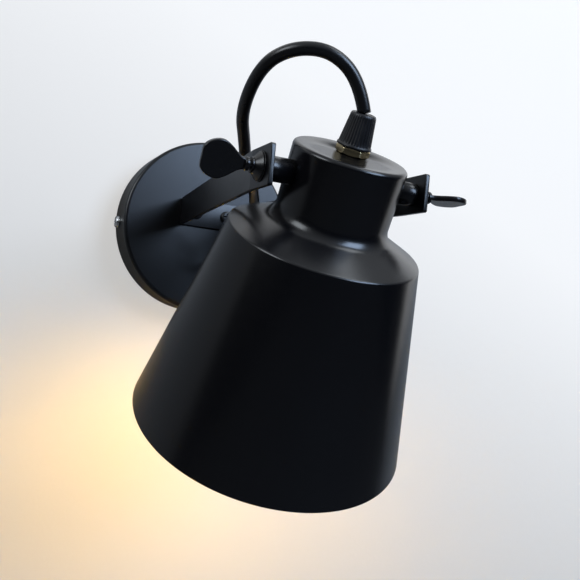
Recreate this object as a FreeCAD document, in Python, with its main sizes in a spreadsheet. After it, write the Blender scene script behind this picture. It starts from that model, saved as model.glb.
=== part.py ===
import FreeCAD, Part
import math
import os
import re
import Sketcher

# A pivoting spotlight for a wall. A bell shaped steel shade hangs between the two arms of a flat strip
# bracket, and two thumb screws clamp it at any tilt. The bracket is screwed to a round canopy, which
# covers a bar on the wall. A cord loops from the grip on top of the shade into the canopy's face.
#
# Frame, in millimetres: the wall is the plane y = 0 and the light stands out of it along -Y.
# +Z is up, and the origin is the centre of the canopy's back. The shade's own pieces are drawn with
# the pivot at their origin and the shade's axis along Z, and are then tilted about X.

SIZES = {
    # canopy: a pressed cup, open to the wall
    "canopy_radius": 60.0,
    "canopy_depth": 27.6,
    "canopy_wall": 1.2,
    "canopy_corner": 2.0,
    # bar on the wall, with an ear at each end
    "bar_half_length": 57.0,
    "bar_width": 18.0,
    "bar_thick": 2.0,
    "bar_height": -3.0,
    "ear_length": 16.0,
    "ear_hole_depth": 9.5,
    "slot_spacing": 72.0,
    "slot_length": 14.0,
    "slot_width": 4.5,
    # U bracket of flat strip
    "strip_width": 18.6,
    "strip_thick": 2.3,
    "bracket_height": 8.5,
    "base_half": 22.2,
    "bend_to_pivot": 11.0,
    "bend_radius": 1.8,
    "tab_half": 41.9,
    "tab_end": 10.1,
    "tab_corner": 1.2,
    # pivot of the head
    "pivot_reach": 215.0,
    "head_tilt": 26.0,
    # shade: radii and heights on its own axis, from the pivot
    "shade_wall": 1.2,
    "shade_top": 13.4,
    "shade_top_corner": 2.0,
    "neck_radius": 27.5,
    "neck_foot": 20.5,
    "neck_fillet": 8.0,
    "shoulder_radius": 47.6,
    "shoulder_drop": 29.5,
    "shoulder_corner": 1.6,
    "mouth_radius": 72.4,
    "mouth_drop": 134.0,
    # studs on the neck
    "stud_radius": 5.7,
    "spigot_radius": 3.2,
    "spigot_head_radius": 4.4,
    "spigot_head_thick": 0.9,
    # thumb screws, measured outwards from the tab
    "thumb_shank_radius": 2.0,
    "thumb_shank_inside": 11.0,
    "flat_washer_radius": 7.0,
    "flat_washer_thick": 0.6,
    "bell_base_radius": 6.6,
    "bell_tip_radius": 3.4,
    "bell_length": 3.2,
    "ring_radius": 3.6,
    "ring_length": 1.2,
    "groove_radius": 2.3,
    "groove_length": 0.7,
    "bead_radius": 3.1,
    "bead_length": 2.2,
    "paddle_length": 19.4,
    "paddle_half_width": 8.3,
    "paddle_widest": 11.2,
    "paddle_tip_half": 4.6,
    "paddle_root_half": 2.6,
    "paddle_thick": 2.7,
    "paddle_corner": 3.5,
    "left_paddle_tilt": 26.0,
    "right_paddle_tilt": 88.0,
    # nipple, nut and cord grip on top of the shade
    "nipple_radius": 5.0,
    "nipple_bore": 3.6,
    "nipple_below": 10.0,
    "nipple_above": 10.0,
    "nut_flats": 14.0,
    "nut_thick": 3.6,
    "lock_washer_radius": 8.5,
    "lock_washer_thick": 0.8,
    "grip_base_radius": 7.85,
    "grip_tip_radius": 5.85,
    "grip_height": 15.5,
    "grip_lip_radius": 8.2,
    "grip_lip_height": 1.2,
    "grip_mouth_depth": 2.5,
    "collet_radius": 4.5,
    # lampholder for a 27 mm screw cap
    "holder_radius": 20.0,
    "holder_wall": 1.8,
    "holder_cap_length": 21.5,
    "holder_cap_roof": 5.0,
    "holder_skirt_length": 30.0,
    "insert_thick": 6.0,
    "socket_shell_radius": 13.9,
    "socket_shell_wall": 0.4,
    "socket_shell_length": 22.0,
    "contact_radius": 3.0,
    "contact_height": 2.4,
    # bulb
    "bulb_cap_radius": 13.1,
    "bulb_cap_wall": 0.4,
    "bulb_cap_length": 24.0,
    "bulb_tip_radius": 4.8,
    "bulb_tip_height": 2.0,
    "bulb_globe_radius": 30.0,
    "bulb_length": 105.0,
    "bulb_glass": 1.0,
    # cord, its bush and leads
    "cord_radius": 3.1,
    "lead_radius": 1.1,
    "bush_across": 10.0,
    "bush_height": -22.0,
    "bush_length": 16.0,
    "bush_tip_radius": 4.8,
    "bush_root_radius": 6.2,
    "bush_flange_radius": 8.5,
    "bush_flange_thick": 2.5,
    "bush_stem_radius": 6.0,
    "bush_stem_length": 8.0,
    "bush_nut_flats": 15.0,
    "bush_nut_thick": 3.5,
    "cord_tail_length": 5.0,
    # terminal block
    "block_length": 26.0,
    "block_depth": 12.0,
    "block_width": 14.0,
    "pole_spacing": 8.0,
    "pole_bore": 1.6,
    # small screws: shank and head
    "metric_four_radius": 2.0,
    "metric_three_radius": 1.5,
    "pan_head_radius": 4.2,
    "pan_head_height": 2.5,
    "small_head_radius": 2.4,
    "small_head_height": 1.8,
    "side_screw_length": 7.0,
    "bracket_screw_length": 10.0,
    "bracket_screw_across": 11.0,
    "bracket_washer_radius": 4.5,
    "bracket_washer_thick": 0.8,
    "bracket_nut_flats": 7.0,
    "bracket_nut_thick": 3.2,
    "earth_screw_across": 20.0,
    "pole_screw_radius": 1.4,
    # clearances
    "fit_gap": 0.05,
    "run_gap": 0.08,
    "face_gap": 0.1,
    "hole_gap": 0.2,
}

# Points of the cord's free loop between the grip's mouth and the bush's tip, from the head to the wall.
CORD_POINTS = [
    (-5.0, -231.5, 50.5),
    (-19.5, -231.0, 61.0),
    (-35.0, -224.0, 61.0),
    (-44.0, -210.0, 55.0),
    (-43.5, -188.0, 39.5),
    (-34.0, -171.5, 28.5),
    (-27.0, -157.5, 20.5),
    (-18.0, -140.0, 17.5),
    (-7.0, -120.0, 19.0),
    (1.5, -104.5, 10.5),
    (7.5, -91.0, -2.5),
    (9.0, -76.5, -15.0),
    (10.0, -60.5, -22.0),
]

EDGE_TOLERANCE = 0.02

doc = FreeCAD.newDocument("wall_light")
sheet = doc.addObject("Spreadsheet::Sheet", "sizes")
for row, (alias, value) in enumerate(SIZES.items(), start=1):
    sheet.set("A%d" % row, alias)
    sheet.set("B%d" % row, repr(value))
    sheet.setAlias("B%d" % row, alias)
doc.recompute()

PIECES = []


# ---- helpers that bind geometry to the sheet ----

def bound(text):
    """The expression with each size's name pointed at its cell."""
    return re.sub(r"[a-z_]+", lambda word: ("sizes." if word.group() in SIZES else "") + word.group(), text)


def drive(obj, path, text):
    obj.setExpression(path, bound(text))


def finish(obj, name):
    """Names a sub-part after its file and puts it on the list of what is written."""
    obj.Label = name
    PIECES.append(obj)
    return obj


def new_body(name):
    return doc.addObject("PartDesign::Body", name)


def new_sketch(body, role, name):
    sketch = body.newObject("Sketcher::SketchObject", name)
    plane = [feature for feature in body.Origin.OriginFeatures if feature.Role == role][0]
    sketch.AttachmentSupport = [(plane, "")]
    sketch.MapMode = "FlatFace"
    return sketch


def pin(sketch, kind, text, *where):
    """A dimension of the sketch, held by a plain number or by an expression."""
    try:
        value = float(text)
    except ValueError:
        value = None
    number = sketch.addConstraint(Sketcher.Constraint(kind, *where, 1.0 if value is None else value))
    if value is None:
        drive(sketch, "Constraints[%d]" % number, text)


def outline(body, role, name, corners):
    """A closed straight sided outline, each corner held from the sketch's origin."""
    sketch = new_sketch(body, role, name)
    count = len(corners)
    spots = [
        FreeCAD.Vector(math.cos(math.tau * i / count), math.sin(math.tau * i / count), 0)
        for i in range(count)
    ]
    for i in range(count):
        sketch.addGeometry(Part.LineSegment(spots[i], spots[(i + 1) % count]))
    for i in range(count):
        sketch.addConstraint(Sketcher.Constraint("Coincident", i, 2, (i + 1) % count, 1))
    for i, (across, along) in enumerate(corners):
        pin(sketch, "DistanceX", across, -1, 1, i, 1)
        pin(sketch, "DistanceY", along, -1, 1, i, 1)
    doc.recompute()
    return sketch


def rings(body, role, name, spots):
    """Circles, each given by its centre and radius."""
    sketch = new_sketch(body, role, name)
    for i, (across, along, radius) in enumerate(spots):
        sketch.addGeometry(Part.Circle(FreeCAD.Vector(i * 9, 5, 0), FreeCAD.Vector(0, 0, 1), 1))
        pin(sketch, "DistanceX", across, -1, 1, i, 3)
        pin(sketch, "DistanceY", along, -1, 1, i, 3)
        pin(sketch, "Radius", radius, i)
    doc.recompute()
    return sketch


def spin(body, sketch, axis, name="turned"):
    """Turns the outline about the sketch's own H_Axis or V_Axis."""
    feature = body.newObject("PartDesign::Revolution", name)
    feature.Profile = sketch
    feature.ReferenceAxis = (sketch, [axis])
    feature.Angle = 360
    doc.recompute()
    return feature


def pad(body, sketch, length, name="plate"):
    """Thickens the outline to both sides of its plane."""
    feature = body.newObject("PartDesign::Pad", name)
    feature.Profile = sketch
    feature.SideType = "Symmetric"
    drive(feature, "Length", length)
    doc.recompute()
    return feature


def cut(body, sketch, name="cut", length=None):
    """Cuts the sketch through the body, or to half of length each side of its plane."""
    before = body.Shape.Volume
    feature = body.newObject("PartDesign::Pocket", name)
    feature.Profile = sketch
    feature.SideType = "Symmetric"
    if length is None:
        feature.Type = "ThroughAll"
    else:
        feature.Type = "Length"
        drive(feature, "Length", length)
    doc.recompute()
    if body.Shape.Volume >= before:
        raise RuntimeError("%s of %s removes nothing" % (name, body.Name))
    return feature


def round_edges(body, radius, chosen, name):
    """Rounds the edges of the body's last feature that the test chooses."""
    base = body.Tip
    names = ["Edge%d" % (i + 1) for i, edge in enumerate(base.Shape.Edges) if chosen(edge)]
    if not names:
        raise RuntimeError("%s of %s finds no edge" % (name, body.Name))
    feature = body.newObject("PartDesign::Fillet", name)
    feature.Base = (base, names)
    drive(feature, "Radius", radius)
    doc.recompute()
    return feature


def ring_edge(radius, axial, axis, reach=EDGE_TOLERANCE):
    """Tests for a circular edge of that radius, its centre within reach of that place on the axis."""
    def test(edge):
        curve = edge.Curve
        if not isinstance(curve, Part.Circle) or abs(curve.Radius - radius) > EDGE_TOLERANCE:
            return False
        return abs(getattr(curve.Center, axis) - axial) < reach
    return test


def straight_edge(across, along, axes):
    """Tests for a straight edge square to the two axes, at those coordinates on them."""
    def test(edge):
        if not isinstance(edge.Curve, Part.Line):
            return False
        ends = [vertex.Point for vertex in edge.Vertexes]
        return all(
            abs(getattr(end, axes[0]) - across) < EDGE_TOLERANCE
            and abs(getattr(end, axes[1]) - along) < EDGE_TOLERANCE
            for end in ends
        )
    return test


def place(obj, across="0", out="0", up="0", axis=(1, 0, 0), angle=0.0):
    """Puts a sub-part at a bound place, turned by a fixed angle."""
    obj.Placement = FreeCAD.Placement(FreeCAD.Vector(), FreeCAD.Rotation(FreeCAD.Vector(*axis), angle))
    drive(obj, "Placement.Base.x", across)
    drive(obj, "Placement.Base.y", out)
    drive(obj, "Placement.Base.z", up)


def seat_on_head(obj, turn="head_tilt"):
    """Puts a sub-part drawn about the pivot where the tilted head holds it."""
    obj.Placement = FreeCAD.Placement(FreeCAD.Vector(), FreeCAD.Rotation(FreeCAD.Vector(1, 0, 0), 1))
    drive(obj, "Placement.Base.y", "-pivot_reach")
    drive(obj, "Placement.Base.z", "bracket_height")
    drive(obj, "Placement.Rotation.Angle", turn)


def turned_body(name, corners, axis="V_Axis", role="XZ_Plane"):
    """A body turned from one outline: about Z by default, about Y with role XY_Plane."""
    body = new_body(name)
    spin(body, outline(body, role, name + "_profile", corners), axis)
    return body


def group(name, members):
    """Loose solids that share one node."""
    compound = doc.addObject("Part::Compound", name)
    compound.Links = members
    doc.recompute()
    return finish(compound, name)


def hex_nut(name, flats, thick, bore):
    """A hexagonal nut on Z, from z = 0 up, with a plain bore."""
    body = new_body(name)
    corners = [(1, 0), (0.5, 0.5), (-0.5, 0.5), (-1, 0), (-0.5, -0.5), (0.5, -0.5)]
    sketch = outline(body, "XY_Plane", name + "_hexagon", [
        ("%s / sqrt(3) * %s" % (flats, across), "%s * %s" % (flats, along)) for across, along in corners
    ])
    blank = body.newObject("PartDesign::Pad", "blank")
    blank.Profile = sketch
    drive(blank, "Length", thick)
    doc.recompute()
    cut(body, rings(body, "XY_Plane", name + "_bore", [("0", "0", bore)]), "bore")
    return body


def washer(name, outer, bore, low, high):
    """A flat ring on Z between two heights."""
    return turned_body(name, [(bore, low), (outer, low), (outer, high), (bore, high)])


def pan_screw(name, shank, length, head_radius, head_height):
    """A pan head screw along X: the head stands from x = 0 to +X, the shank runs to -X, a cross recess."""
    body = new_body(name)
    spin(body, outline(body, "XY_Plane", name + "_profile", [
        ("-(%s)" % length, "0"), ("-(%s)" % length, shank), ("0", shank), ("0", head_radius),
        (head_height + " * 0.55", head_radius), (head_height, head_radius + " * 0.62"), (head_height, "0"),
    ]), "H_Axis")
    for role in ("XY_Plane", "XZ_Plane"):
        cut(body, outline(body, role, name + "_recess_" + role[:2], [
            (head_height + " * 0.35", "-(%s) * 0.5" % head_radius), (head_height + " * 0.35", head_radius + " * 0.5"),
            (head_height + " * 1.5", head_radius + " * 0.5"), (head_height + " * 1.5", "-(%s) * 0.5" % head_radius),
        ]), "recess_" + role[:2], head_radius + " * 0.22")
    return body


def tube(name, points, radius):
    """A round tube on straight runs, joined by tangent arcs that take 0.45 of the shorter run beside them."""
    points = [FreeCAD.Vector(*point) for point in points]
    edges = []
    tightest = None
    start = points[0]
    for before, corner, after in zip(points, points[1:], points[2:]):
        back = (before - corner).normalize()
        ahead = (after - corner).normalize()
        reach = 0.45 * min(before.distanceToPoint(corner), corner.distanceToPoint(after))
        half_turn = (math.pi - back.getAngle(ahead)) / 2
        bend = reach / math.tan(half_turn)
        tightest = bend if tightest is None else min(tightest, bend)
        middle = corner + (back + ahead).normalize() * (bend / math.cos(half_turn) - bend)
        enter = corner + back * reach
        leave = corner + ahead * reach
        edges.append(Part.LineSegment(start, enter).toShape())
        edges.append(Part.Arc(enter, middle, leave).toShape())
        start = leave
    edges.append(Part.LineSegment(start, points[-1]).toShape())
    path = Part.Wire(edges)
    circle = Part.Wire(Part.Circle(points[0], points[1] - points[0], radius).toShape())
    feature = doc.addObject("Part::Feature", name)
    feature.Shape = path.makePipeShell([circle], True, False)
    print("%s: length %.1f, tightest bend %.1f, volume over section times length %.4f" % (
        name, path.Length, tightest, feature.Shape.Volume / (math.pi * radius ** 2 * path.Length)))
    return feature


# ---- canopy and the bar behind it ----

def make_canopy():
    body = turned_body("wall_canopy", [
        ("canopy_radius", "0"), ("canopy_radius", "-canopy_depth"), ("0", "-canopy_depth"),
        ("0", "canopy_wall - canopy_depth"), ("canopy_radius - canopy_wall", "canopy_wall - canopy_depth"),
        ("canopy_radius - canopy_wall", "0"),
    ], role="XY_Plane")
    depth = SIZES["canopy_depth"]
    inner = SIZES["canopy_radius"] - SIZES["canopy_wall"]
    round_edges(body, "canopy_corner", ring_edge(SIZES["canopy_radius"], -depth, "y"), "front_corner")
    round_edges(body, "canopy_corner - canopy_wall", ring_edge(inner, SIZES["canopy_wall"] - depth, "y"),
                "inner_corner")
    cut(body, rings(body, "XZ_Plane", "face_holes", [
        ("-bracket_screw_across", "bracket_height", "metric_four_radius + hole_gap"),
        ("bracket_screw_across", "bracket_height", "metric_four_radius + hole_gap"),
        ("bush_across", "bush_height", "bush_stem_radius + fit_gap"),
    ]), "face_cut")
    cut(body, rings(body, "YZ_Plane", "rim_holes", [
        ("-ear_hole_depth", "bar_height", "metric_four_radius + hole_gap"),
    ]), "rim_cut")
    finish(body, "wall_canopy")


def make_mounting_bar():
    body = new_body("mounting_bar")
    pad(body, outline(body, "XY_Plane", "bar_profile", [
        ("-bar_half_length", "-ear_length"), ("-bar_half_length", "0"),
        ("bar_half_length", "0"), ("bar_half_length", "-ear_length"),
        ("bar_half_length - bar_thick", "-ear_length"), ("bar_half_length - bar_thick", "-bar_thick"),
        ("bar_thick - bar_half_length", "-bar_thick"), ("bar_thick - bar_half_length", "-ear_length"),
    ]), "bar_width")
    half = SIZES["bar_half_length"]
    thick = SIZES["bar_thick"]
    for side in (-1, 1):
        tag = "left" if side < 0 else "right"
        round_edges(body, "bar_thick + 0.5", straight_edge(side * half, 0, "xy"), tag + "_outer_bend")
        round_edges(body, "0.5", straight_edge(side * (half - thick), -thick, "xy"), tag + "_inner_bend")
        middle = "%d * slot_spacing / 2" % side
        reach = "(slot_length - slot_width) / 2"
        cut(body, rings(body, "XZ_Plane", tag + "_slot_ends", [
            (middle + " - " + reach, "0", "slot_width / 2"), (middle + " + " + reach, "0", "slot_width / 2"),
        ]), tag + "_ends_cut")
        cut(body, outline(body, "XZ_Plane", tag + "_slot_sides", [
            (middle + " - " + reach, "-slot_width / 2"), (middle + " + " + reach, "-slot_width / 2"),
            (middle + " + " + reach, "slot_width / 2"), (middle + " - " + reach, "slot_width / 2"),
        ]), tag + "_slot_cut")
    cut(body, rings(body, "YZ_Plane", "ear_holes", [
        ("-ear_hole_depth", "0", "metric_four_radius + fit_gap"),
    ]), "ear_cut")
    cut(body, rings(body, "XZ_Plane", "bar_holes", [
        ("earth_screw_across", "0", "metric_four_radius + fit_gap"),
        ("pole_spacing / 2", "0", "metric_three_radius + fit_gap"),
    ]), "bar_cut")
    place(body, up="bar_height")
    finish(body, "mounting_bar")


def make_side_screws():
    screws = []
    for side in (-1, 1):
        screw = pan_screw("side_screw_left" if side < 0 else "side_screw_right", "metric_four_radius",
                          "side_screw_length", "pan_head_radius", "pan_head_height")
        place(screw, "%d * canopy_radius" % side, "-ear_hole_depth", "bar_height", (0, 0, 1),
              180 if side < 0 else 0)
        screws.append(screw)
    group("canopy_side_screws", screws)


# ---- U bracket and what screws it to the canopy ----

def make_bracket():
    bend = "(pivot_reach - bend_to_pivot)"
    run = "(%s - canopy_depth)" % bend
    spread = "(tab_half - base_half)"
    slant = "sqrt(%s^2 + %s^2)" % (run, spread)
    base_inner = "(base_half - strip_thick * (%s - %s) / %s)" % (slant, spread, run)
    bend_inner = "-(%s + strip_thick * (%s - %s) / %s)" % (bend, slant, run, spread)
    tab_front = "-(pivot_reach + tab_end)"
    outer = [("tab_half", tab_front), ("tab_half", "-" + bend), ("base_half", "-canopy_depth")]
    inner = [("(tab_half - strip_thick)", tab_front), ("(tab_half - strip_thick)", bend_inner),
             (base_inner, "-(canopy_depth + strip_thick)")]
    body = new_body("u_bracket")
    pad(body, outline(body, "XY_Plane", "bracket_profile", (
        [("-" + across, out) for across, out in outer]
        + outer[::-1]
        + inner
        + [("-" + across, out) for across, out in inner[::-1]]
    )), "strip_width")
    reach = SIZES["pivot_reach"] - SIZES["bend_to_pivot"]
    round_edges(body, "bend_radius", fold_edge(reach, False), "inner_bends")
    round_edges(body, "bend_radius + strip_thick", fold_edge(reach, True), "outer_bends")
    front = -(SIZES["pivot_reach"] + SIZES["tab_end"])
    for up in (-1, 1):
        round_edges(body, "tab_corner", straight_edge(front, up * SIZES["strip_width"] / 2, "yz"),
                    "tab_corner_high" if up > 0 else "tab_corner_low")
    cut(body, rings(body, "YZ_Plane", "tab_holes", [("-pivot_reach", "0", "thumb_shank_radius + run_gap")]),
        "tab_cut")
    cut(body, rings(body, "XZ_Plane", "base_holes", [
        ("-bracket_screw_across", "0", "metric_four_radius + fit_gap"),
        ("bracket_screw_across", "0", "metric_four_radius + fit_gap"),
    ]), "base_cut")
    place(body, up="bracket_height")
    finish(body, "u_bracket")


def fold_edge(reach, outer):
    """Tests for an upright edge at one of the strip's four folds, all of which lie nearer the wall than
    the tabs' ends. It is on the strip's outside where it lies on the line of an arm's outer face."""
    base = SIZES["base_half"]
    depth = SIZES["canopy_depth"]
    spread = (SIZES["tab_half"] - base) / (reach - depth)

    def test(edge):
        if not isinstance(edge.Curve, Part.Line):
            return False
        first, last = [vertex.Point for vertex in edge.Vertexes]
        upright = abs(first.x - last.x) < EDGE_TOLERANCE and abs(first.y - last.y) < EDGE_TOLERANCE
        folded = -first.y < reach + 1.0
        on_line = abs(abs(first.x) - base - spread * (-first.y - depth)) < EDGE_TOLERANCE
        return upright and folded and on_line == outer
    return test


def make_bracket_fasteners():
    screws, washers, nuts = [], [], []
    inside = "canopy_wall - canopy_depth"
    for side in (-1, 1):
        tag = "left" if side < 0 else "right"
        across = "%d * bracket_screw_across" % side
        screw = pan_screw("bracket_screw_" + tag, "metric_four_radius", "bracket_screw_length",
                          "pan_head_radius", "pan_head_height")
        place(screw, across, "-(canopy_depth + strip_thick)", "bracket_height", (0, 0, 1), -90)
        screws.append(screw)
        ring = washer("bracket_washer_" + tag, "bracket_washer_radius", "metric_four_radius + fit_gap",
                      "0", "bracket_washer_thick")
        place(ring, across, inside, "bracket_height", (1, 0, 0), -90)
        washers.append(ring)
        nut = hex_nut("bracket_nut_" + tag, "bracket_nut_flats", "bracket_nut_thick",
                      "metric_four_radius + fit_gap")
        place(nut, across, inside + " + bracket_washer_thick", "bracket_height", (1, 0, 0), -90)
        nuts.append(nut)
    group("bracket_screws", screws)
    group("bracket_washers", washers)
    group("bracket_nuts", nuts)


# ---- where the cord enters the canopy, and its terminals ----

def make_cord_bush():
    bore = "cord_radius + fit_gap"
    body = turned_body("cord_bush", [
        (bore, "-bush_stem_length"), ("bush_stem_radius", "-bush_stem_length"), ("bush_stem_radius", "0"),
        ("bush_flange_radius", "0"), ("bush_flange_radius", "bush_flange_thick"),
        ("bush_root_radius", "bush_flange_thick"), ("bush_tip_radius", "bush_length"), (bore, "bush_length"),
    ])
    place(body, "bush_across", "-canopy_depth", "bush_height", (1, 0, 0), 90)
    finish(body, "cord_bush")

    nut = hex_nut("cord_bush_nut", "bush_nut_flats", "bush_nut_thick", "bush_stem_radius + fit_gap")
    place(nut, "bush_across", "canopy_wall - canopy_depth", "bush_height", (1, 0, 0), -90)
    finish(nut, "cord_bush_nut")

    tail = turned_body("cord_tail_wall", [
        ("0", "-(bush_stem_length + cord_tail_length)"),
        ("cord_radius", "-(bush_stem_length + cord_tail_length)"), ("cord_radius", "bush_length"),
        ("0", "bush_length"),
    ])
    place(tail, "bush_across", "-canopy_depth", "bush_height", (1, 0, 0), 90)
    finish(tail, "cord_tail_wall")


def make_terminal_block():
    poles = ["%d * pole_spacing" % i for i in (-1, 0, 1)]
    body = new_body("terminal_block")
    pad(body, outline(body, "XZ_Plane", "block_face", [
        ("-block_length / 2", "-block_width / 2"), ("block_length / 2", "-block_width / 2"),
        ("block_length / 2", "block_width / 2"), ("-block_length / 2", "block_width / 2"),
    ]), "block_depth")
    cut(body, rings(body, "XY_Plane", "pole_bores", [(pole, "0", "pole_bore") for pole in poles]), "pole_cut")
    cut(body, rings(body, "XZ_Plane", "block_screw_hole", [
        ("pole_spacing / 2", "0", "metric_three_radius + fit_gap"),
    ]), "screw_cut")
    wells = cut(body, rings(body, "XZ_Plane", "terminal_wells", [
        (pole, "%d * block_width / 4" % up, "pole_screw_radius + fit_gap") for pole in poles for up in (-1, 1)
    ]), "wells_cut", "block_depth / 2")
    wells.SideType = "One side"
    wells.Reversed = True
    doc.recompute()
    place(body, "0", "-(bar_thick + block_depth / 2)", "bar_height")
    finish(body, "terminal_block")

    front = "-(bar_thick + block_depth)"
    screws = []
    for i in (-1, 0, 1):
        for up in (-1, 1):
            screw = pan_screw("terminal_screw_%d_%d" % (i + 1, (up + 1) // 2), "pole_screw_radius",
                              "block_depth / 2 - pole_bore", "small_head_radius", "small_head_height")
            place(screw, "%d * pole_spacing" % i, front, "bar_height + %d * block_width / 4" % up,
                  (0, 0, 1), -90)
            screws.append(screw)
    group("terminal_screws", screws)

    screw = pan_screw("block_screw", "metric_three_radius", "block_depth + bar_thick - face_gap",
                      "small_head_radius", "small_head_height")
    place(screw, "pole_spacing / 2", front, "bar_height", (0, 0, 1), -90)
    finish(screw, "block_screw")


def make_earth_terminal():
    ring = washer("earth_washer", "bracket_washer_radius", "metric_four_radius + fit_gap",
                  "0", "bracket_washer_thick")
    place(ring, "earth_screw_across", "-bar_thick", "bar_height", (1, 0, 0), 90)
    finish(ring, "earth_washer")
    screw = pan_screw("earth_screw", "metric_four_radius", "bar_thick + bracket_washer_thick - face_gap",
                      "pan_head_radius", "pan_head_height")
    place(screw, "earth_screw_across", "-(bar_thick + bracket_washer_thick)", "bar_height", (0, 0, 1), -90)
    finish(screw, "earth_screw")


def make_wall_leads():
    """The three leads from the sheath's end to the terminals, as short tubes with chosen corners."""
    size = SIZES
    lead = size["lead_radius"]
    start_y = -size["canopy_depth"] + size["bush_stem_length"] + size["cord_tail_length"]
    bush_x, bush_z = size["bush_across"], size["bush_height"]
    block_y = -(size["bar_thick"] + size["block_depth"] / 2)
    block_z = size["bar_height"] - size["block_width"] / 2
    for name, pole, side in (("live_lead", 0, -1), ("neutral_lead", size["pole_spacing"], 1)):
        start_x = bush_x + side * 1.27 * lead
        start_z = bush_z + 0.73 * lead
        finish(tube(name, [
            (start_x, start_y, start_z), (start_x, start_y + 5 * lead, start_z),
            (pole, block_y, block_z - 5.5 * lead), (pole, block_y, block_z + 2 * lead),
        ], lead), name)
    earth_x = size["earth_screw_across"]
    earth_y = -(size["bar_thick"] + size["bracket_washer_thick"] + lead)
    earth_z = size["bar_height"] - size["pan_head_radius"] - size["face_gap"]
    finish(tube("earth_lead", [
        (bush_x, start_y, bush_z - 1.65 * lead), (bush_x, start_y + 5 * lead, bush_z - 1.65 * lead),
        (earth_x, earth_y - 0.5 * lead, earth_z - 8 * lead), (earth_x, earth_y, earth_z),
    ], lead), "earth_lead")


# ---- the tilting shade, drawn about its pivot ----

def make_shade():
    shoulder_run = "(shoulder_radius - neck_radius)"
    shoulder_fall = "(shoulder_drop - neck_foot)"
    shoulder_slant = "sqrt(%s^2 + %s^2)" % (shoulder_run, shoulder_fall)
    skirt_run = "(mouth_radius - shoulder_radius)"
    skirt_fall = "(mouth_drop - shoulder_drop)"
    skirt_slant = "sqrt(%s^2 + %s^2)" % (skirt_run, skirt_fall)
    sin_c = "(%s / %s)" % (shoulder_fall, shoulder_slant)
    cos_c = "(%s / %s)" % (shoulder_run, shoulder_slant)
    sin_b = "(%s / %s)" % (skirt_run, skirt_slant)
    cos_b = "(%s / %s)" % (skirt_fall, skirt_slant)
    corner = "(shade_wall / (1 + %s * %s + %s * %s))" % (sin_b, cos_c, cos_b, sin_c)
    body = turned_body("shade_shell", [
        ("nipple_radius + hole_gap", "shade_top"), ("neck_radius", "shade_top"), ("neck_radius", "-neck_foot"),
        ("shoulder_radius", "-shoulder_drop"), ("mouth_radius", "-mouth_drop"),
        ("mouth_radius - shade_wall / %s" % cos_b, "-mouth_drop"),
        ("shoulder_radius - %s * (%s + %s)" % (corner, sin_c, cos_b),
         "-shoulder_drop - %s * (%s + %s)" % (corner, cos_c, sin_b)),
        ("neck_radius - shade_wall", "-neck_foot - shade_wall * %s / (1 + %s)" % (cos_c, sin_c)),
        ("neck_radius - shade_wall", "shade_top - shade_wall"),
        ("nipple_radius + hole_gap", "shade_top - shade_wall"),
    ])
    neck = SIZES["neck_radius"]
    wall = SIZES["shade_wall"]
    round_edges(body, "shade_top_corner", ring_edge(neck, SIZES["shade_top"], "z"), "top_corner")
    round_edges(body, "shade_top_corner - shade_wall", ring_edge(neck - wall, SIZES["shade_top"] - wall, "z"),
                "top_inside")
    round_edges(body, "neck_fillet", ring_edge(neck, -SIZES["neck_foot"], "z"), "neck_outside")
    round_edges(body, "neck_fillet + shade_wall", ring_edge(neck - wall, -SIZES["neck_foot"] - wall / 2, "z",
                                                            wall), "neck_inside")
    round_edges(body, "shoulder_corner", ring_edge(SIZES["shoulder_radius"], -SIZES["shoulder_drop"], "z"),
                "shoulder_outside")
    cut(body, rings(body, "YZ_Plane", "spigot_holes", [("0", "0", "spigot_radius + fit_gap")]), "spigot_cut")
    seat_on_head(body)
    finish(body, "shade_shell")


def make_pivot_studs():
    """Each stud stands on the neck, and its spigot is spread inside the neck's wall."""
    studs = []
    bore = "thumb_shank_radius + run_gap"
    seat = "sqrt((neck_radius - shade_wall)^2 - spigot_head_radius^2)"
    for side in (-1, 1):
        tag = "left" if side < 0 else "right"
        body = new_body("pivot_stud_" + tag)
        sign = "%d * " % side
        spin(body, outline(body, "XY_Plane", "stud_profile_" + tag, [
            (sign + "(neck_radius - 1.5)", bore), (sign + "(neck_radius - 1.5)", "stud_radius"),
            (sign + "(tab_half - strip_thick - face_gap)", "stud_radius"),
            (sign + "(tab_half - strip_thick - face_gap)", bore),
        ]), "H_Axis", "barrel")
        cut(body, rings(body, "XY_Plane", "saddle_" + tag, [("0", "0", "neck_radius")]), "saddle_cut")
        spin(body, outline(body, "XY_Plane", "spigot_profile_" + tag, [
            (sign + "(%s - spigot_head_thick)" % seat, bore),
            (sign + "(%s - spigot_head_thick)" % seat, "spigot_head_radius"),
            (sign + seat, "spigot_head_radius"), (sign + seat, "spigot_radius"),
            (sign + "(neck_radius + 1.5)", "spigot_radius"), (sign + "(neck_radius + 1.5)", bore),
        ]), "H_Axis", "spigot")
        seat_on_head(body)
        studs.append(body)
    group("pivot_studs", studs)


# ---- the two thumb screws, each with its washers ----

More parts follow.
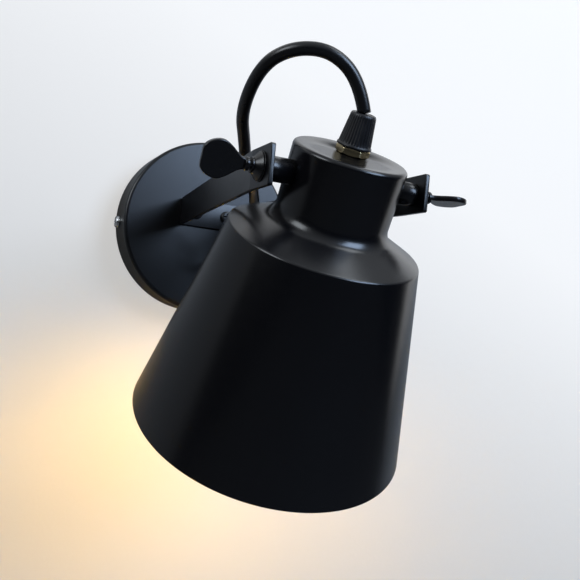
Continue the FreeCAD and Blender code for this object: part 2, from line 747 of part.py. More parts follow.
def make_thumb_screw(side):
    tag = "left" if side < 0 else "right"
    turn = tag + "_paddle_tilt"
    sign = "%d * " % side
    flat = "(tab_half + face_gap)"
    bell = "(%s + flat_washer_thick)" % flat
    ring = "(%s + bell_length)" % bell
    groove = "(%s + ring_length)" % ring
    bead = "(%s + groove_length)" % groove
    collar = "(%s + bead_length)" % bead
    hole = "thumb_shank_radius + fit_gap"
    tip = "(tab_half - strip_thick - thumb_shank_inside)"

    body = new_body(tag + "_thumb_screw")
    spin(body, outline(body, "XY_Plane", tag + "_stem", [
        (sign + tip, "0"), (sign + tip, "thumb_shank_radius"), (sign + ring, "thumb_shank_radius"),
        (sign + ring, "ring_radius"), (sign + groove, "ring_radius"), (sign + groove, "groove_radius"),
        (sign + bead, "groove_radius"), (sign + bead, "bead_radius"), (sign + collar, "bead_radius"),
        (sign + collar, "0"),
    ]), "H_Axis", "stem")
    root = "(%s - bead_length / 2)" % collar
    widest = "(%s + paddle_widest)" % collar
    end = "(%s + paddle_length)" % collar
    pad(body, outline(body, "XZ_Plane", tag + "_paddle", [
        (sign + root, "-paddle_root_half"), (sign + collar, "-paddle_root_half"),
        (sign + widest, "-paddle_half_width"), (sign + end, "-paddle_tip_half"),
        (sign + end, "paddle_tip_half"), (sign + widest, "paddle_half_width"),
        (sign + collar, "paddle_root_half"), (sign + root, "paddle_root_half"),
    ]), "paddle_thick", "paddle")
    out = (SIZES["tab_half"] + SIZES["face_gap"] + SIZES["flat_washer_thick"] + SIZES["bell_length"]
           + SIZES["ring_length"] + SIZES["groove_length"] + SIZES["bead_length"])
    spots = [(out + SIZES["paddle_widest"], SIZES["paddle_half_width"]),
             (out + SIZES["paddle_length"], SIZES["paddle_tip_half"])]
    for i, (across, up) in enumerate(spots):
        for end_sign in (-1, 1):
            round_edges(body, "paddle_corner", straight_edge(side * across, end_sign * up, "xz"),
                        "paddle_corner_%d_%s" % (i, "low" if end_sign < 0 else "high"))
    seat_on_head(body, turn)
    finish(body, tag + "_thumb_screw")

    disc = new_body(tag + "_flat_washer")
    spin(disc, outline(disc, "XY_Plane", tag + "_flat_profile", [
        (sign + flat, hole), (sign + flat, "flat_washer_radius"), (sign + bell, "flat_washer_radius"),
        (sign + bell, hole),
    ]), "H_Axis")
    seat_on_head(disc, turn)
    finish(disc, tag + "_flat_washer")

    cone = new_body(tag + "_bell_washer")
    spin(cone, outline(cone, "XY_Plane", tag + "_bell_profile", [
        (sign + bell, hole), (sign + bell, "bell_base_radius"),
        (sign + "(%s + bell_length / 6)" % bell, "bell_base_radius"),
        (sign + ring, "bell_tip_radius"), (sign + ring, hole),
    ]), "H_Axis")
    seat_on_head(cone, turn)
    finish(cone, tag + "_bell_washer")


# ---- nipple, nut and cord grip ----

def on_head(obj, name):
    seat_on_head(obj)
    return finish(obj, name)


def raise_on_head(obj, height, name):
    """Seats a piece that is drawn from z = 0 at that height on the shade's tilted axis."""
    holder = doc.addObject("Part::Compound", name + "_on_axis")
    place(obj, up=height)
    holder.Links = [obj]
    seat_on_head(holder)
    doc.recompute()
    return finish(holder, name)


def make_cord_grip():
    nipple_top = "(shade_top + nipple_above)"
    nut_top = "(shade_top + nut_thick)"
    grip_top = "(%s + grip_height)" % nut_top
    under = "(shade_top - shade_wall)"
    on_head(turned_body("threaded_nipple", [
        ("nipple_bore", under + " - nipple_below"), ("nipple_radius", under + " - nipple_below"),
        ("nipple_radius", nipple_top), ("nipple_bore", nipple_top),
    ]), "threaded_nipple")
    on_head(washer("lock_washer", "lock_washer_radius", "nipple_radius + fit_gap",
                   under + " - lock_washer_thick", under), "lock_washer")
    nut = hex_nut("top_nut_blank", "nut_flats", "nut_thick", "nipple_radius + fit_gap")
    raise_on_head(nut, "shade_top", "top_nut")
    mouth = "(%s - grip_mouth_depth)" % grip_top
    on_head(turned_body("cord_grip", [
        ("nipple_radius + fit_gap", nut_top), ("grip_lip_radius", nut_top),
        ("grip_lip_radius", nut_top + " + grip_lip_height"), ("grip_base_radius", nut_top + " + grip_lip_height"),
        ("grip_tip_radius", grip_top), ("cord_radius + 2 * run_gap", grip_top),
        ("cord_radius + 2 * run_gap", mouth), ("collet_radius + fit_gap", mouth),
        ("collet_radius + fit_gap", nipple_top + " + face_gap"),
        ("nipple_radius + fit_gap", nipple_top + " + face_gap"),
    ]), "cord_grip")
    on_head(turned_body("grip_collet", [
        ("cord_radius + fit_gap", nipple_top + " + face_gap"), ("collet_radius", nipple_top + " + face_gap"),
        ("collet_radius", mouth), ("cord_radius + fit_gap", mouth),
    ]), "grip_collet")
    on_head(turned_body("cord_tail_head", [
        ("0", under + " - nipple_below - 1"), ("cord_radius", under + " - nipple_below - 1"),
        ("cord_radius", grip_top), ("0", grip_top),
    ]), "cord_tail_head")


# ---- lampholder ----

def make_lampholder():
    roof = "(shade_top - shade_wall - lock_washer_thick)"
    hollow = "(%s - holder_cap_roof)" % roof
    joint = "(%s - holder_cap_length)" % roof
    foot = "(%s - holder_skirt_length)" % joint
    inner = "holder_radius - holder_wall"
    deck = "(%s + insert_thick / 2 + 1)" % joint
    seat = "(%s - insert_thick)" % deck
    on_head(turned_body("holder_cap", [
        ("nipple_radius + fit_gap", roof), ("holder_radius", roof), ("holder_radius", joint), (inner, joint),
        (inner, hollow), ("nipple_radius + fit_gap", hollow),
    ]), "holder_cap")
    on_head(turned_body("holder_skirt", [
        (inner, joint), ("holder_radius", joint), ("holder_radius", foot), (inner, foot),
    ]), "holder_skirt")
    on_head(turned_body("holder_insert", [
        ("0", deck), (inner + " - fit_gap", deck), (inner + " - fit_gap", seat), ("0", seat),
    ]), "holder_insert")
    on_head(washer("screw_shell", "socket_shell_radius", "socket_shell_radius - socket_shell_wall",
                   "%s - socket_shell_length" % seat, seat), "screw_shell")
    on_head(turned_body("centre_contact", [
        ("0", seat), ("contact_radius", seat), ("contact_radius", "%s - contact_height" % seat),
        ("0", "%s - contact_height" % seat),
    ]), "centre_contact")
    screws = []
    for side in (-1, 1):
        screw = turned_body("holder_screw_left" if side < 0 else "holder_screw_right", [
            ("0", "0"), ("small_head_radius", "0"), ("small_head_radius", "small_head_height"),
            ("0", "small_head_height"),
        ])
        place(screw, "%d * holder_radius * 0.45" % side, "0", deck)
        screws.append(screw)
    holder = doc.addObject("Part::Compound", "holder_terminal_screws")
    holder.Links = screws
    seat_on_head(holder)
    doc.recompute()
    finish(holder, "holder_terminal_screws")
    return seat


# ---- bulb ----

def make_bulb(seat):
    tip_top = "(%s - contact_height - face_gap)" % seat
    tip_low = "(%s - bulb_tip_height)" % tip_top
    cap_top = "(%s - bulb_tip_height / 4)" % tip_top
    cap_inner = "bulb_cap_radius - bulb_cap_wall"
    on_head(turned_body("bulb_tip", [
        ("0", tip_low), ("bulb_tip_radius", tip_low), ("bulb_tip_radius", tip_top), ("0", tip_top),
    ]), "bulb_tip")
    on_head(washer("bulb_insulator", cap_inner + " - fit_gap", "bulb_tip_radius + fit_gap",
                   "%s - bulb_tip_height / 4" % tip_low, cap_top), "bulb_insulator")
    on_head(washer("bulb_cap", "bulb_cap_radius", cap_inner, "%s - bulb_cap_length" % cap_top, cap_top),
            "bulb_cap")
    centre = "(%s - bulb_length + bulb_globe_radius)" % tip_top
    cap_low = "(%s - bulb_cap_length)" % cap_top
    throat = "(%s + bulb_globe_radius * 0.8)" % centre
    glass = []
    for tag, shrink in (("outer", "0"), ("inner", "bulb_glass")):
        neck_radius = cap_inner + " - fit_gap - " + shrink
        ball = doc.addObject("Part::Sphere", "globe_" + tag)
        drive(ball, "Radius", "bulb_globe_radius - " + shrink)
        place(ball, up=centre)
        cone = doc.addObject("Part::Cone", "globe_cone_" + tag)
        drive(cone, "Radius1", "bulb_globe_radius * 0.58 - " + shrink)
        drive(cone, "Radius2", neck_radius)
        drive(cone, "Height", "%s - face_gap - %s" % (cap_low, throat))
        place(cone, up=throat)
        neck = doc.addObject("Part::Cylinder", "globe_neck_" + tag)
        drive(neck, "Radius", neck_radius)
        drive(neck, "Height", "bulb_cap_length / 8 + face_gap + " + shrink)
        place(neck, up=cap_low + " - face_gap")
        form = doc.addObject("Part::MultiFuse", "globe_form_" + tag)
        form.Shapes = [ball, cone, neck]
        glass.append(form)
    globe = doc.addObject("Part::Cut", "bulb_globe")
    globe.Base, globe.Tool = glass
    doc.recompute()
    on_head(globe, "bulb_globe")


# ---- the cord's free loop ----

def head_point(across, out, up):
    """A point of the tilted head's own frame, seen in the wall's frame."""
    turn = math.radians(SIZES["head_tilt"])
    return (across, -SIZES["pivot_reach"] + out * math.cos(turn) - up * math.sin(turn),
            SIZES["bracket_height"] + out * math.sin(turn) + up * math.cos(turn))


def make_cord():
    mouth = head_point(0, 0, SIZES["shade_top"] + SIZES["nut_thick"] + SIZES["grip_height"])
    end = (SIZES["bush_across"], -(SIZES["canopy_depth"] + SIZES["bush_length"]), SIZES["bush_height"])
    finish(tube("lamp_cord", [mouth] + CORD_POINTS + [end], SIZES["cord_radius"]), "lamp_cord")


def make_holder_leads():
    """Two leads from the sheath's end down to the terminal screws of the lampholder."""
    size = SIZES
    lead = size["lead_radius"]
    start = size["shade_top"] - size["shade_wall"] - size["nipple_below"] - 1
    roof = size["shade_top"] - size["shade_wall"] - size["lock_washer_thick"]
    deck = roof - size["holder_cap_length"] + size["insert_thick"] / 2 + 1
    rest = deck + size["small_head_height"] + lead
    group("holder_leads", [tube("holder_lead_" + tag, [
        head_point(side * 1.3 * lead, 0, start),
        head_point(side * 1.3 * lead, 0, rest),
        head_point(side * size["holder_radius"] * 0.45, 0, rest),
    ], lead) for tag, side in (("left", -1), ("right", 1))])


make_canopy()
make_mounting_bar()
make_side_screws()
make_bracket()
make_bracket_fasteners()
make_cord_bush()
make_terminal_block()
make_earth_terminal()
make_wall_leads()
make_shade()
make_pivot_studs()
for hand in (-1, 1):
    make_thumb_screw(hand)
make_cord_grip()
insert_seat = make_lampholder()
make_holder_leads()
make_bulb(insert_seat)
make_cord()
doc.recompute()

for item in doc.Objects:
    if "Invalid" in item.State or "Error" in item.State:
        raise RuntimeError("%s did not recompute" % item.Label)
os.makedirs("parts", exist_ok=True)
for piece in PIECES:
    if piece.Shape.isNull() or not piece.Shape.isValid() or piece.Shape.Volume <= 0:
        raise RuntimeError("%s has no valid solid" % piece.Label)
    piece.Shape.exportStep("parts/%s.step" % piece.Label)
    box = piece.Shape.BoundBox
    print("%-24s volume %10.1f  x %.1f %.1f  y %.1f %.1f  z %.1f %.1f" % (
        piece.Label, piece.Shape.Volume, box.XMin, box.XMax, box.YMin, box.YMax, box.ZMin, box.ZMax))
print("%d sub-parts written" % len(PIECES))
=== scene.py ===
import math

import bpy
import numpy as np
from mathutils import Matrix, Vector


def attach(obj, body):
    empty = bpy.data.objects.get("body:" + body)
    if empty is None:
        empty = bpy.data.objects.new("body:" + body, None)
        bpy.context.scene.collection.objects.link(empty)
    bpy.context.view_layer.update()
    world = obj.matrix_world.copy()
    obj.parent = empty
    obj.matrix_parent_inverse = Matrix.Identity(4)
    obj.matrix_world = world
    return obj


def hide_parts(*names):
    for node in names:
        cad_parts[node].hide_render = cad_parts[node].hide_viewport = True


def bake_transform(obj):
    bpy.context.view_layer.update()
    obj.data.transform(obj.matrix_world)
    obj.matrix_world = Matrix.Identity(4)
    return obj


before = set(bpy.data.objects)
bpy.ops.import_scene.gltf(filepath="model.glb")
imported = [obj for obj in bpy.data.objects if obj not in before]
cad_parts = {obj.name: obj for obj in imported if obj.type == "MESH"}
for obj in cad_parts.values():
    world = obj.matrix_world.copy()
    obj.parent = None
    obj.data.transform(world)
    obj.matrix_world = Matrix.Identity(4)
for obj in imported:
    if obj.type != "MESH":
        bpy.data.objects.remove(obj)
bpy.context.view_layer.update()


# ---------------------------------------------------------------------------------------------------
# The camera. It stands to the left of the light, a little below the bracket, and looks up slightly,
# with the small roll of a picture that was held by hand.

CAMERA_PLACE = Vector((-0.15802, -0.50003, -0.05422))
CAMERA_AZIMUTH = math.radians(25.52)
CAMERA_ELEVATION = math.radians(1.79)
CAMERA_ROLL = math.radians(5.30)
CAMERA_LENS = 43.506
CAMERA_SENSOR = 36.0

ahead = Vector((
    math.sin(CAMERA_AZIMUTH) * math.cos(CAMERA_ELEVATION),
    math.cos(CAMERA_AZIMUTH) * math.cos(CAMERA_ELEVATION),
    math.sin(CAMERA_ELEVATION),
))
level_right = ahead.cross(Vector((0, 0, 1))).normalized()
level_up = level_right.cross(ahead)
right = level_right * math.cos(CAMERA_ROLL) + level_up * math.sin(CAMERA_ROLL)
up = level_up * math.cos(CAMERA_ROLL) - level_right * math.sin(CAMERA_ROLL)
camera = bpy.data.objects.new("camera", bpy.data.cameras.new("camera"))
camera.matrix_world = Matrix((right, up, -ahead)).transposed().to_4x4()
camera.matrix_world.translation = CAMERA_PLACE
camera.data.lens = CAMERA_LENS
camera.data.sensor_width = CAMERA_SENSOR
bpy.context.scene.collection.objects.link(camera)
bpy.context.scene.camera = camera


# ---------------------------------------------------------------------------------------------------
# The wall bar. A zinc plated steel strip with an ear folded out at each end. It is screwed to the
# wall through its two slots, and everything else hangs on it.

def surface(name, colour, fleck=0.12, roughness=0.4, spread=0.06, grain=0.0005, relief=0.00002,
            metal=0.0, worn=None, wear=0.5, drawn=(1.0, 1.0, 1.0)):
    """A finish for one kind of surface, read in the piece's own coordinates.

    The colour wanders by the share 'fleck' on a broad noise, the roughness by 'spread' on a finer one,
    and a bump of height 'relief' has bumps of size 'grain', stretched along an axis where 'drawn' is
    under 1. Where the piece has an 'edge' value, the colour turns to 'worn' there in small flecks.
    """
    material = bpy.data.materials.new(name)
    material.use_nodes = True
    nodes = material.node_tree.nodes
    link = material.node_tree.links.new
    shader = nodes["Principled BSDF"]
    shader.inputs["Metallic"].default_value = metal
    where = nodes.new("ShaderNodeTexCoord")
    stretch = nodes.new("ShaderNodeMapping")
    stretch.inputs["Scale"].default_value = drawn
    link(where.outputs["Object"], stretch.inputs["Vector"])

    broad = nodes.new("ShaderNodeTexNoise")
    broad.inputs["Scale"].default_value = 38.0
    broad.inputs["Detail"].default_value = 4.0
    link(where.outputs["Object"], broad.inputs["Vector"])
    tint = nodes.new("ShaderNodeMix")
    tint.data_type = "RGBA"
    tint.inputs["A"].default_value = (*[channel * (1 - fleck) for channel in colour], 1)
    tint.inputs["B"].default_value = (*[min(1, channel * (1 + fleck)) for channel in colour], 1)
    link(broad.outputs["Fac"], tint.inputs["Factor"])
    base = tint.outputs["Result"]

    fine = nodes.new("ShaderNodeTexNoise")
    fine.inputs["Scale"].default_value = 240.0
    fine.inputs["Detail"].default_value = 3.0
    link(stretch.outputs["Vector"], fine.inputs["Vector"])
    gloss = nodes.new("ShaderNodeMapRange")
    gloss.inputs["From Min"].default_value = 0.3
    gloss.inputs["From Max"].default_value = 0.7
    gloss.inputs["To Min"].default_value = roughness - spread
    gloss.inputs["To Max"].default_value = roughness + spread
    link(fine.outputs["Fac"], gloss.inputs["Value"])
    link(gloss.outputs["Result"], shader.inputs["Roughness"])

    if worn is not None:
        edge = nodes.new("ShaderNodeAttribute")
        edge.attribute_name = "edge"
        patchy = nodes.new("ShaderNodeMapRange")
        patchy.inputs["From Min"].default_value = 0.62
        patchy.inputs["From Max"].default_value = 0.8
        patchy.inputs["To Max"].default_value = wear
        link(fine.outputs["Fac"], patchy.inputs["Value"])
        rubbed = nodes.new("ShaderNodeMath")
        rubbed.operation = "MULTIPLY"
        link(edge.outputs["Fac"], rubbed.inputs[0])
        link(patchy.outputs["Result"], rubbed.inputs[1])
        bare = nodes.new("ShaderNodeMix")
        bare.data_type = "RGBA"
        bare.inputs["B"].default_value = (*worn, 1)
        link(rubbed.outputs["Value"], bare.inputs["Factor"])
        link(base, bare.inputs["A"])
        base = bare.outputs["Result"]
    link(base, shader.inputs["Base Color"])

    grit = nodes.new("ShaderNodeTexNoise")
    grit.inputs["Scale"].default_value = 1.0 / grain
    grit.inputs["Detail"].default_value = 2.0
    link(stretch.outputs["Vector"], grit.inputs["Vector"])
    bump = nodes.new("ShaderNodeBump")
    bump.inputs["Strength"].default_value = 1.0
    bump.inputs["Distance"].default_value = relief
    link(grit.outputs["Fac"], bump.inputs["Height"])
    link(bump.outputs["Normal"], shader.inputs["Normal"])
    return material


def dress(node, material):
    """Gives a part of the frame its finish."""
    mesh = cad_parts[node].data
    mesh.materials.clear()
    mesh.materials.append(material)


ZINC = (0.60, 0.61, 0.62)
zinc_plate = surface("zinc_plate", ZINC, fleck=0.1, roughness=0.36, spread=0.08, grain=0.0006,
                     relief=0.00001, metal=1.0, drawn=(0.15, 1.0, 1.0))
dress("mounting_bar", zinc_plate)


# ---------------------------------------------------------------------------------------------------
# The canopy. A cup pressed from 1.2 mm steel with a crisp front corner, coated with satin black
# powder. It covers the bar and the terminals, and its open back stands against the wall.

MM = 0.001
CANOPY_RADIUS = 60.0
CANOPY_DEPTH = 27.6
CANOPY_WALL = 1.2
CANOPY_CORNER = 2.0


def rounded(corners, steps=5, hold=0.5):
    """A profile through straight corners (across, along, corner radius), each rounded where its radius
    is over 0. The arc is tangent to both sides: it starts radius / tan(half the corner's angle) from
    the corner, and its points are at even angles about its centre. A point stands 'hold' before and
    after each arc, so that the flats stay flat under smooth shading. Returns the points, and for each
    point 1 on an arc and 0 elsewhere."""
    points, edge = [], []
    for i, (across, along, radius) in enumerate(corners):
        here = np.array([across, along], float)
        if radius <= 0 or i in (0, len(corners) - 1):
            points.append(here)
            edge.append(0.0)
            continue
        back = np.array(corners[i - 1][:2], float) - here
        on = np.array(corners[i + 1][:2], float) - here
        back_length, on_length = np.linalg.norm(back), np.linalg.norm(on)
        back, on = back / back_length, on / on_length
        half = math.acos(np.clip(back @ on, -1, 1)) / 2
        reach = radius / math.tan(half)
        middle = (back + on) / np.linalg.norm(back + on)
        centre = here + middle * radius / math.sin(half)
        sweep = math.pi / 2 - half
        turn = np.linspace(-sweep, sweep, steps)[:, None]
        side = np.array([-middle[1], middle[0]])
        side = side if side @ on > 0 else -side
        arc = centre - middle * radius * np.cos(turn) + side * radius * np.sin(turn)
        before = here + back * min(reach + hold, 0.5 * (reach + back_length))
        after = here + on * min(reach + hold, 0.5 * (reach + on_length))
        points += [before, *arc, after]
        edge += [0.0] + [1.0] * steps + [0.0]
    return np.array(points), np.array(edge)


def turned(profile, steps=128):
    """Rings of a turned shape: each point (radius, height) of the profile goes round the Z axis, to
    x = radius cos t, y = radius sin t."""
    t = np.linspace(0, 2 * np.pi, steps, endpoint=False)
    radius, height = profile[:, :1], profile[:, 1:2]
    return np.stack([radius * np.cos(t), radius * np.sin(t), height + 0 * t], axis=-1)


def make_piece(name, rings, body, material, node=None, edge=None, inside=None, loop=False, place=None):
    """A piece skinned over a stack of closed rings, in millimetres, in an array of rings by points.

    Quads join each ring to the next. The stack is closed by a fan to the middle of its first and last
    rings, or by quads back to its first ring where 'loop' is set. 'place' takes the points to the
    light's own frame. The faces are turned round if the enclosed volume, the sum of each triangle's
    determinant over six, comes out negative. 'edge' and 'inside' are kept as values on the points.
    """
    count, around = rings.shape[:2]
    index = np.arange(count * around).reshape(count, around)
    following = np.roll(index, -1, axis=1)
    rows = count if loop else count - 1
    quads = np.stack([
        index[:rows], following[:rows],
        np.roll(following, -1, axis=0)[:rows], np.roll(index, -1, axis=0)[:rows],
    ], axis=-1).reshape(-1, 4)
    points = rings.reshape(-1, 3)
    fans = np.zeros((0, 3), int)
    if not loop:
        points = np.vstack([points, rings[[0, -1]].mean(axis=1)])
        first, last = len(points) - 2, len(points) - 1
        fans = np.vstack([
            np.stack([following[0], index[0], np.full(around, first)], axis=-1),
            np.stack([index[-1], following[-1], np.full(around, last)], axis=-1),
        ])
    if place is not None:
        points = place(points)
    points = points * MM
    triangles = np.vstack([quads[:, :3], quads[:, [0, 2, 3]], fans])
    a, b, c = points[triangles[:, 0]], points[triangles[:, 1]], points[triangles[:, 2]]
    if np.einsum("ij,ij->i", a, np.cross(b, c)).sum() < 0:
        quads, fans = quads[:, ::-1], fans[:, ::-1]
    mesh = bpy.data.meshes.new(name)
    mesh.from_pydata(points.tolist(), [], quads.tolist() + fans.tolist())
    mesh.polygons.foreach_set("use_smooth", np.ones(len(mesh.polygons), bool))
    for label, values in (("edge", edge), ("inside", inside)):
        if values is not None:
            held = np.zeros(len(points), np.float32)
            held[:count * around] = np.repeat(values, around) if len(values) == count else values
            mesh.attributes.new(label, "FLOAT", "POINT").data.foreach_set("value", held)
    mesh.materials.append(material)
    piece = bpy.data.objects.new(name, mesh)
    bpy.context.scene.collection.objects.link(piece)
    if body is not None:
        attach(piece, body)
    if node is not None:
        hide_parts(*([node] if isinstance(node, str) else node))
    return piece


def off_wall(across=0.0, out=0.0, height=0.0):
    """Places points whose own Z axis stands straight out of the wall, from that point."""
    def place(points):
        x, y, z = points.T
        return np.stack([across + x, -out - z, height + y], axis=-1)
    return place


BLACK = (0.0032, 0.0033, 0.0045)
RUBBED = (0.03, 0.03, 0.034)
powder_coat = surface("powder_coat", BLACK, fleck=0.12, roughness=0.3, spread=0.012, grain=0.0007,
                      relief=0.000004, worn=RUBBED, wear=0.6)
canopy_profile, canopy_edge = rounded([
    (1.0, CANOPY_DEPTH, 0), (CANOPY_RADIUS, CANOPY_DEPTH, CANOPY_CORNER), (CANOPY_RADIUS, 0.0, 0.35),
    (CANOPY_RADIUS - CANOPY_WALL, 0.0, 0.35),
    (CANOPY_RADIUS - CANOPY_WALL, CANOPY_DEPTH - CANOPY_WALL, CANOPY_CORNER - CANOPY_WALL),
    (1.0, CANOPY_DEPTH - CANOPY_WALL, 0),
])
canopy = make_piece("canopy", turned(canopy_profile, 192), "wall_mount", powder_coat, "wall_canopy",
                    canopy_edge, place=off_wall())


# ---------------------------------------------------------------------------------------------------
# The canopy's side screws. Bright zinc pan head screws with a cross recess, one in each side of the
# rim. They go into the bar's ears and hold the canopy to the wall.

SIDE_SCREW_OUT = 9.5
SIDE_SCREW_HEIGHT = -3.0
PAN_RADIUS = 4.2
PAN_HEIGHT = 2.5
CROSS_HALF = 0.55
CROSS_REACH = 0.62


def pan_screw(length, shank, radius=PAN_RADIUS, height=PAN_HEIGHT):
    """Rings of a pan head screw on Z, its head above 0 and its shank below. The head's top is a flat
    ellipse in section, height (1 - (r / R)^4)^(1/4), and the cross is a smooth dip where either
    coordinate is within its half width of the axis and the other within its reach, a share of the
    radius. It is deepest at the middle."""
    t = np.linspace(0, 2 * np.pi, 96, endpoint=False)
    shank_part = np.array([
        (0.3 * shank, -length), (0.8 * shank, -length), (shank, -length + 0.5), (shank, -0.3), (shank, 0.0),
        (radius * 0.9, 0.0), (radius * 0.98, 0.05), (radius, 0.25),
    ])
    across = radius * np.sin(np.linspace(np.pi / 2, 0.02, 34))
    dome = np.stack([across, height * (1 - (across / radius) ** 4) ** 0.25 * 0.92 + 0.08 * height], axis=-1)
    profile = np.vstack([shank_part, dome])
    rings = turned(profile, 96)
    x, y = rings[..., 0], rings[..., 1]
    top = np.arange(len(profile)) >= len(shank_part)
    narrow = np.clip((CROSS_HALF - np.minimum(abs(x), abs(y))) / 0.18, 0, 1)
    reach = np.clip((CROSS_REACH * radius - np.hypot(x, y)) / 0.3, 0, 1)
    dip = narrow * reach * (0.9 + 0.5 * (1 - np.hypot(x, y) / radius)) * height * 0.45
    rings[..., 2] -= dip * top[:, None]
    return rings


def along_x(place_x, out, height, side):
    """Places points whose own Z axis runs along X, to the right for side 1 and to the left for -1."""
    def place(points):
        x, y, z = points.T
        return np.stack([place_x + side * z, -out + side * x, height + y], axis=-1)
    return place


bright_zinc = surface("bright_zinc", (0.70, 0.71, 0.72), fleck=0.08, roughness=0.27, spread=0.07,
                      grain=0.0004, relief=0.000008, metal=1.0)
for side, label in ((-1, "left"), (1, "right")):
    screw = make_piece("side_screw_" + label, pan_screw(7.0, 2.0), "wall_mount", bright_zinc,
                       "canopy_side_screws",
                       place=along_x(side * CANOPY_RADIUS, SIDE_SCREW_OUT, SIDE_SCREW_HEIGHT, side))


# ---------------------------------------------------------------------------------------------------
# The bracket. One flat strip, folded to a base and two arms that splay and then run straight as tabs.
# Its cut edges are a little rubbed, and its free corners are rounded.

STRIP_WIDTH = 18.6
STRIP_THICK = 2.3
BRACKET_HEIGHT = 8.5
BASE_HALF = 22.2
BEND_OUT = 204.0
TAB_HALF = 41.9
PIVOT_OUT = 215.0
TAB_END = 225.1
BEND_RADIUS = 1.8
TAB_BEND_RADIUS = 12.0
TAB_CORNER = 1.2
STRIP_EDGE = 0.35


def strip_rings(path, thick, width, corner, edge_radius):
    """Rings of a flat strip along a path of (x, out) points, with their distances along it. Each ring
    is a rectangle of the strip's thickness and width with its four corners rounded. Near the free ends
    the width shrinks on the circle of the corner radius, w - r + sqrt(r^2 - (r - d)^2) at a distance d
    from the end, and the thickness likewise on the edge radius."""
    step = np.diff(path, axis=0)
    distance = np.concatenate([[0], np.cumsum(np.linalg.norm(step, axis=1))])
    tangent = np.gradient(path, distance, axis=0)
    tangent /= np.linalg.norm(tangent, axis=1)[:, None]
    normal = np.stack([-tangent[:, 1], tangent[:, 0]], axis=-1)
    to_end = np.minimum(distance, distance[-1] - distance)
    in_corner = np.clip(corner - to_end, 0, corner)
    in_edge = np.clip(edge_radius - to_end, 0, edge_radius)
    half_width = width / 2 - corner + np.sqrt(corner ** 2 - in_corner ** 2)
    half_thick = thick / 2 - edge_radius + np.sqrt(edge_radius ** 2 - in_edge ** 2)
    t = np.linspace(0, np.pi / 2, 5)
    quarter = np.concatenate([t + k * np.pi / 2 for k in range(4)])
    sign_a = np.repeat([1, -1, -1, 1], 5)
    sign_b = np.repeat([1, 1, -1, -1], 5)
    small = np.minimum(edge_radius, half_thick * 0.98)[:, None]
    across = sign_a * (half_thick[:, None] - small) + small * np.cos(quarter)
    high = sign_b * (half_width[:, None] - small) + small * np.sin(quarter)
    x = path[:, :1] + normal[:, :1] * across
    out = path[:, 1:] + normal[:, 1:] * across
    return np.stack([x, -out, BRACKET_HEIGHT + high], axis=-1)


def spaced(points, gap):
    """The same path with points put in, so that no two are more than 'gap' apart, and with close ones
    0.1 mm apart over the last 1.5 mm at each end."""
    step = np.linalg.norm(np.diff(points, axis=0), axis=1)
    distance = np.concatenate([[0], np.cumsum(step)])
    even = np.arange(0, distance[-1], gap)
    near = np.linspace(0, 1.5, 16)
    where = np.unique(np.round(np.concatenate([distance, even, near, distance[-1] - near]), 4))
    return np.stack([np.interp(where, distance, points[:, k]) for k in (0, 1)], axis=-1)


half_strip = STRIP_THICK / 2
splay = math.atan2(TAB_HALF - BASE_HALF, BEND_OUT - CANOPY_DEPTH)
middle_bend = BEND_OUT + half_strip * math.tan(splay / 2)
middle_base = BASE_HALF - half_strip * (1 - math.sin(splay)) / math.cos(splay)
fold = BEND_RADIUS + half_strip
middle_tab = TAB_HALF - half_strip
base_out = CANOPY_DEPTH + half_strip
middle_line = rounded([
    (-middle_tab, TAB_END, 0), (-middle_tab, middle_bend, TAB_BEND_RADIUS), (-middle_base, base_out, fold),
    (middle_base, base_out, fold), (middle_tab, middle_bend, TAB_BEND_RADIUS), (middle_tab, TAB_END, 0),
], steps=9)[0]
strip = strip_rings(spaced(middle_line, 6.0), STRIP_THICK, STRIP_WIDTH, TAB_CORNER, STRIP_EDGE)
strip_edge = np.tile(np.arange(20) % 5 == 2, len(strip)).astype(float)
bracket = make_piece("bracket", strip, "wall_mount", powder_coat, "u_bracket", strip_edge)


# ---------------------------------------------------------------------------------------------------
# The bracket's fasteners. Two black pan head screws hold its base to the canopy's face, with a washer
# and a nut on each behind the face.

SCREW_ACROSS = 11.0

screw_coat = surface("screw_coat", (0.006, 0.006, 0.007), fleck=0.2, roughness=0.34, grain=0.0005,
                     relief=0.00001)
for side, label in ((-1, "left"), (1, "right")):
    screw = make_piece("base_screw_" + label, pan_screw(10.0, 2.0), "wall_mount", screw_coat,
                       "bracket_screws",
                       place=off_wall(side * SCREW_ACROSS, CANOPY_DEPTH + STRIP_THICK, BRACKET_HEIGHT))
dress("bracket_washers", zinc_plate)
dress("bracket_nuts", zinc_plate)


# ---------------------------------------------------------------------------------------------------
# The cord bush. A black nylon strain relief, screwed into the canopy's face from the front and held
# by a nut behind it. The cord leaves its tapered nose, which has four soft grooves round it.

BUSH_ACROSS = 10.0
BUSH_HEIGHT = -22.0
BUSH_LENGTH = 16.0
NOSE_START = 3.4
NOSE_TIP = 1.0
GROOVE_PLACES = np.array([5.6, 8.0, 10.4, 12.8])
GROOVE_DEPTH = 0.35
GROOVE_SPREAD = 0.32

